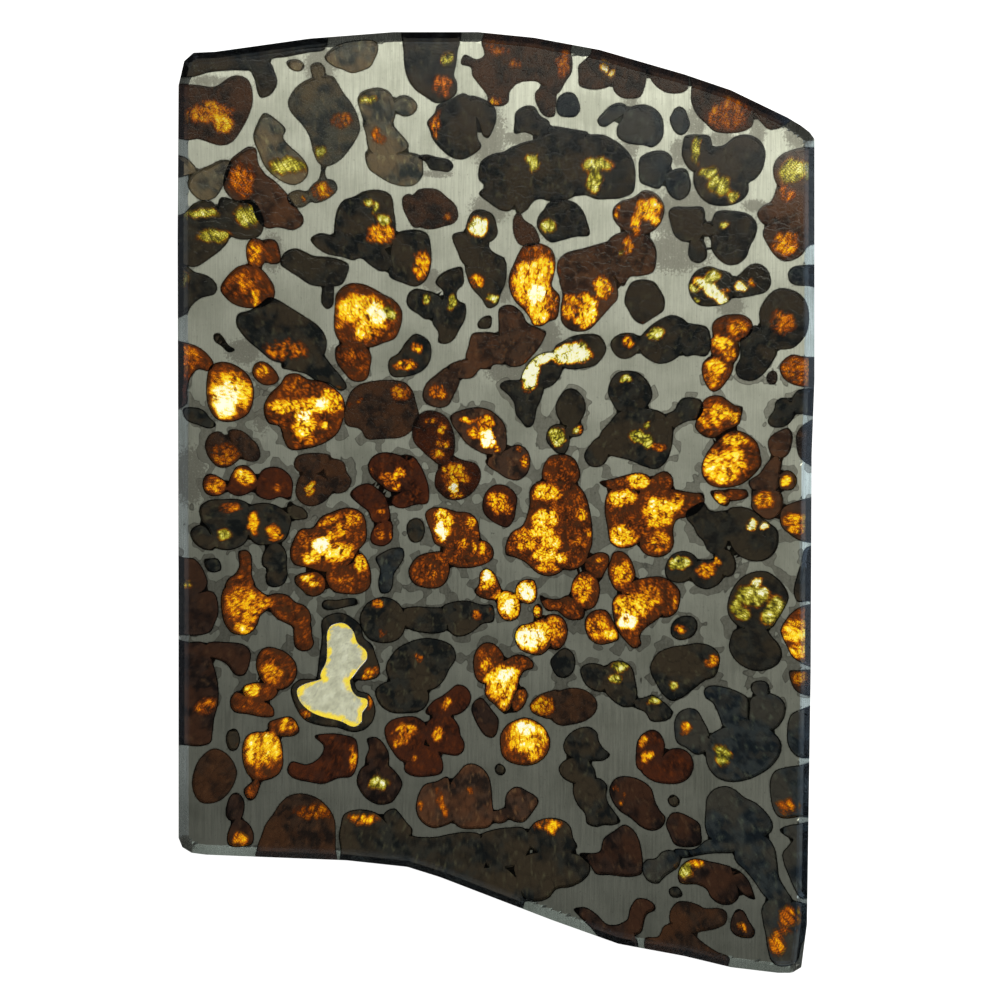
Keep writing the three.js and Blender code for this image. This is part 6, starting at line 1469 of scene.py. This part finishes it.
def metalFinish(name):
    # Polished iron-nickel: upright brushing, soft blotches, grey patches, dark seams and hairlines round crystals.
    mix = Finish(name)
    count, between, blend, noise = mix.count, mix.between, mix.blend, mix.noise
    place = mix.place()
    gap, grey = mix.field("gap"), mix.field("grey")
    brushed = noise(mix.place(1, 0.035, 1), 5.5, 5.0, 0.7)["Fac"]
    blotch = noise(place, 0.16, 5.0, 0.6)["Fac"]
    speck = noise(place, 3.2, 4.0, 0.75)["Fac"]
    wander = noise(place, 0.5, 1.0)["Fac"]
    colour = mix.stops(blotch, metalLook["polish"])
    colour = blend(between(brushed, 0.3, 0.7, 0.36, 0.0), colour, metalLook["brush"])
    colour = blend(between(speck, 0.62, 0.74, 0.0, 0.45), colour, metalLook["speck"])
    darker, paler = [(*paint(*tone), 1) for tone in metalLook["matt"]]
    mottled = mix.put("ShaderNodeMix", {0: between(speck, 0.35, 0.65), 6: darker, 7: paler}, data_type="RGBA")[2]
    patchEdge = count("ADD", grey, between(speck, 0.3, 0.7, -0.3, 0.3))
    colour = blend(between(patchEdge, 0.35, 0.7, 0.0, 0.8), colour, mottled)
    # a matt grey zone follows the crystals, as wide as the slow noise says, and ends in a hairline
    width = count("ADD", between(wander, 0.36, 0.68, -0.3, 1.0), 0.3)
    pastZone = count("SUBTRACT", gap, count("MULTIPLY_ADD", mix.field("matt"), width, -0.3))
    colour = blend(between(pastZone, -0.05, 0.03, 0.72, 0.0), colour, mottled)
    colour = blend(between(count("ABSOLUTE", pastZone), 0.01, 0.08, 0.6, 0.0), colour, metalLook["hairline"])
    seam = count("ADD", gap, between(speck, 0.3, 0.7, -0.07, 0.07))
    colour = blend(between(seam, 0.0, 0.12, 0.4, 0.0), colour, metalLook["seam"])
    rough = count("ADD", between(brushed, 0.3, 0.7, 0.36, 0.28), count("MULTIPLY", grey, 0.08))
    rough = count("SUBTRACT", rough, count("MULTIPLY", mix.field("bevel"), 0.08))
    mix.drive(colour, rough)
    mix.bump(count("ADD", count("MULTIPLY", brushed, 0.6), count("MULTIPLY", speck, 0.3)), 0.25, 0.03)
    mix.shader.inputs["Metallic"].default_value = 1.0
    return mix.material


allLoops = [loop for loops in loopsOf.values() for loop in loops] + windowLoops
metal = addPiece("metal_web", *metalPlate(allLoops), metalFinish("iron_nickel"))
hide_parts("metal_matrix")
print("metal cut,", len(metal.data.polygons), "faces")

# Light table, lights and camera

studio = {
    "table": 0.9,  # width and depth, in metres like everything else in here
    "tableUnder": 0.0003,
    "tableColour": (0.9, 0.9, 0.9),
    "glowColour": (1, 1, 0.995),
    "glow": 1.0,
    "roomLight": (0.05, 0.052, 0.052),
    "backdrop": (0.8, 0.8, 0.79),
    "lamps": {  # place, size, watts, colour
        "overhead": ((0.07, 0.22, 0.56), (0.6, 0.24), 1.25, (1.0, 1.0, 0.88)),
        "right": ((0.5, 0.02, 0.27), (0.2, 0.4), 0.32, (0.72, 0.86, 1.0)),
        "left": ((-0.5, 0.02, 0.27), (0.2, 0.4), 0.1, (0.8, 0.9, 1.0)),
        "front": ((0, -0.5, 0.27), (0.4, 0.15), 0.12, (0.85, 1.0, 1.0)),
    },
    "camera": (0.000422, 0.000263, 0.333),
    "frameWidth": 0.10638,  # what the picture shows of the slice's top face, from side to side
}
scene = bpy.context.scene

half, tableHeight = studio["table"] / 2, -studio["tableUnder"]
corners = [(x * half, y * half, tableHeight) for x, y in ((-1, -1), (1, -1), (1, 1), (-1, 1))]
tableMesh = bpy.data.meshes.new("light_table")
tableMesh.from_pydata(corners, [], [(0, 1, 2, 3)])
table = bpy.data.objects.new("light_table", tableMesh)
scene.collection.objects.link(table)
tableFinish = Finish("light_table")
tableFinish.shader.inputs["Base Color"].default_value = (*studio["tableColour"], 1)
tableFinish.shader.inputs["Emission Color"].default_value = (*studio["glowColour"], 1)
tableFinish.shader.inputs["Emission Strength"].default_value = studio["glow"]
tableMesh.materials.append(tableFinish.material)

# The camera sees the backdrop, and everything else is lit by the room.
world = bpy.data.worlds.new("room")
scene.world = world
world.use_nodes = True
tree = world.node_tree
room = tree.nodes["Background"]
room.inputs["Color"].default_value = (*studio["roomLight"], 1)
seen = tree.nodes.new("ShaderNodeBackground")
seen.inputs["Color"].default_value = (*studio["backdrop"], 1)
lightPath = tree.nodes.new("ShaderNodeLightPath")
choose = tree.nodes.new("ShaderNodeMixShader")
tree.links.new(lightPath.outputs["Is Camera Ray"], choose.inputs[0])
tree.links.new(room.outputs[0], choose.inputs[1])
tree.links.new(seen.outputs[0], choose.inputs[2])
tree.links.new(choose.outputs[0], tree.nodes["World Output"].inputs["Surface"])

for name, (place, size, watts, colour) in studio["lamps"].items():
    lamp = bpy.data.lights.new(name, "AREA")
    lamp.shape = "RECTANGLE"
    lamp.size, lamp.size_y = size
    lamp.energy = watts
    lamp.color = colour
    holder = bpy.data.objects.new(name, lamp)
    holder.location = place
    holder.rotation_euler = (-Vector(place)).to_track_quat("-Z", "Y").to_euler()
    scene.collection.objects.link(holder)

cameraData = bpy.data.cameras.new("camera")
camera = bpy.data.objects.new("camera", cameraData)
camera.location = studio["camera"]
cameraData.sensor_width = 36
cameraData.lens = 36 * (studio["camera"][2] - slabLook["thickness"] * mm) / studio["frameWidth"]
cameraData.clip_start = 0.005
scene.collection.objects.link(camera)
scene.camera = camera
scene.view_settings.view_transform = "Standard"
scene.cycles.max_bounces = 7
scene.cycles.glossy_bounces = 3
scene.cycles.diffuse_bounces = 2
scene.cycles.caustics_reflective = False
print("table, lamps and camera set")
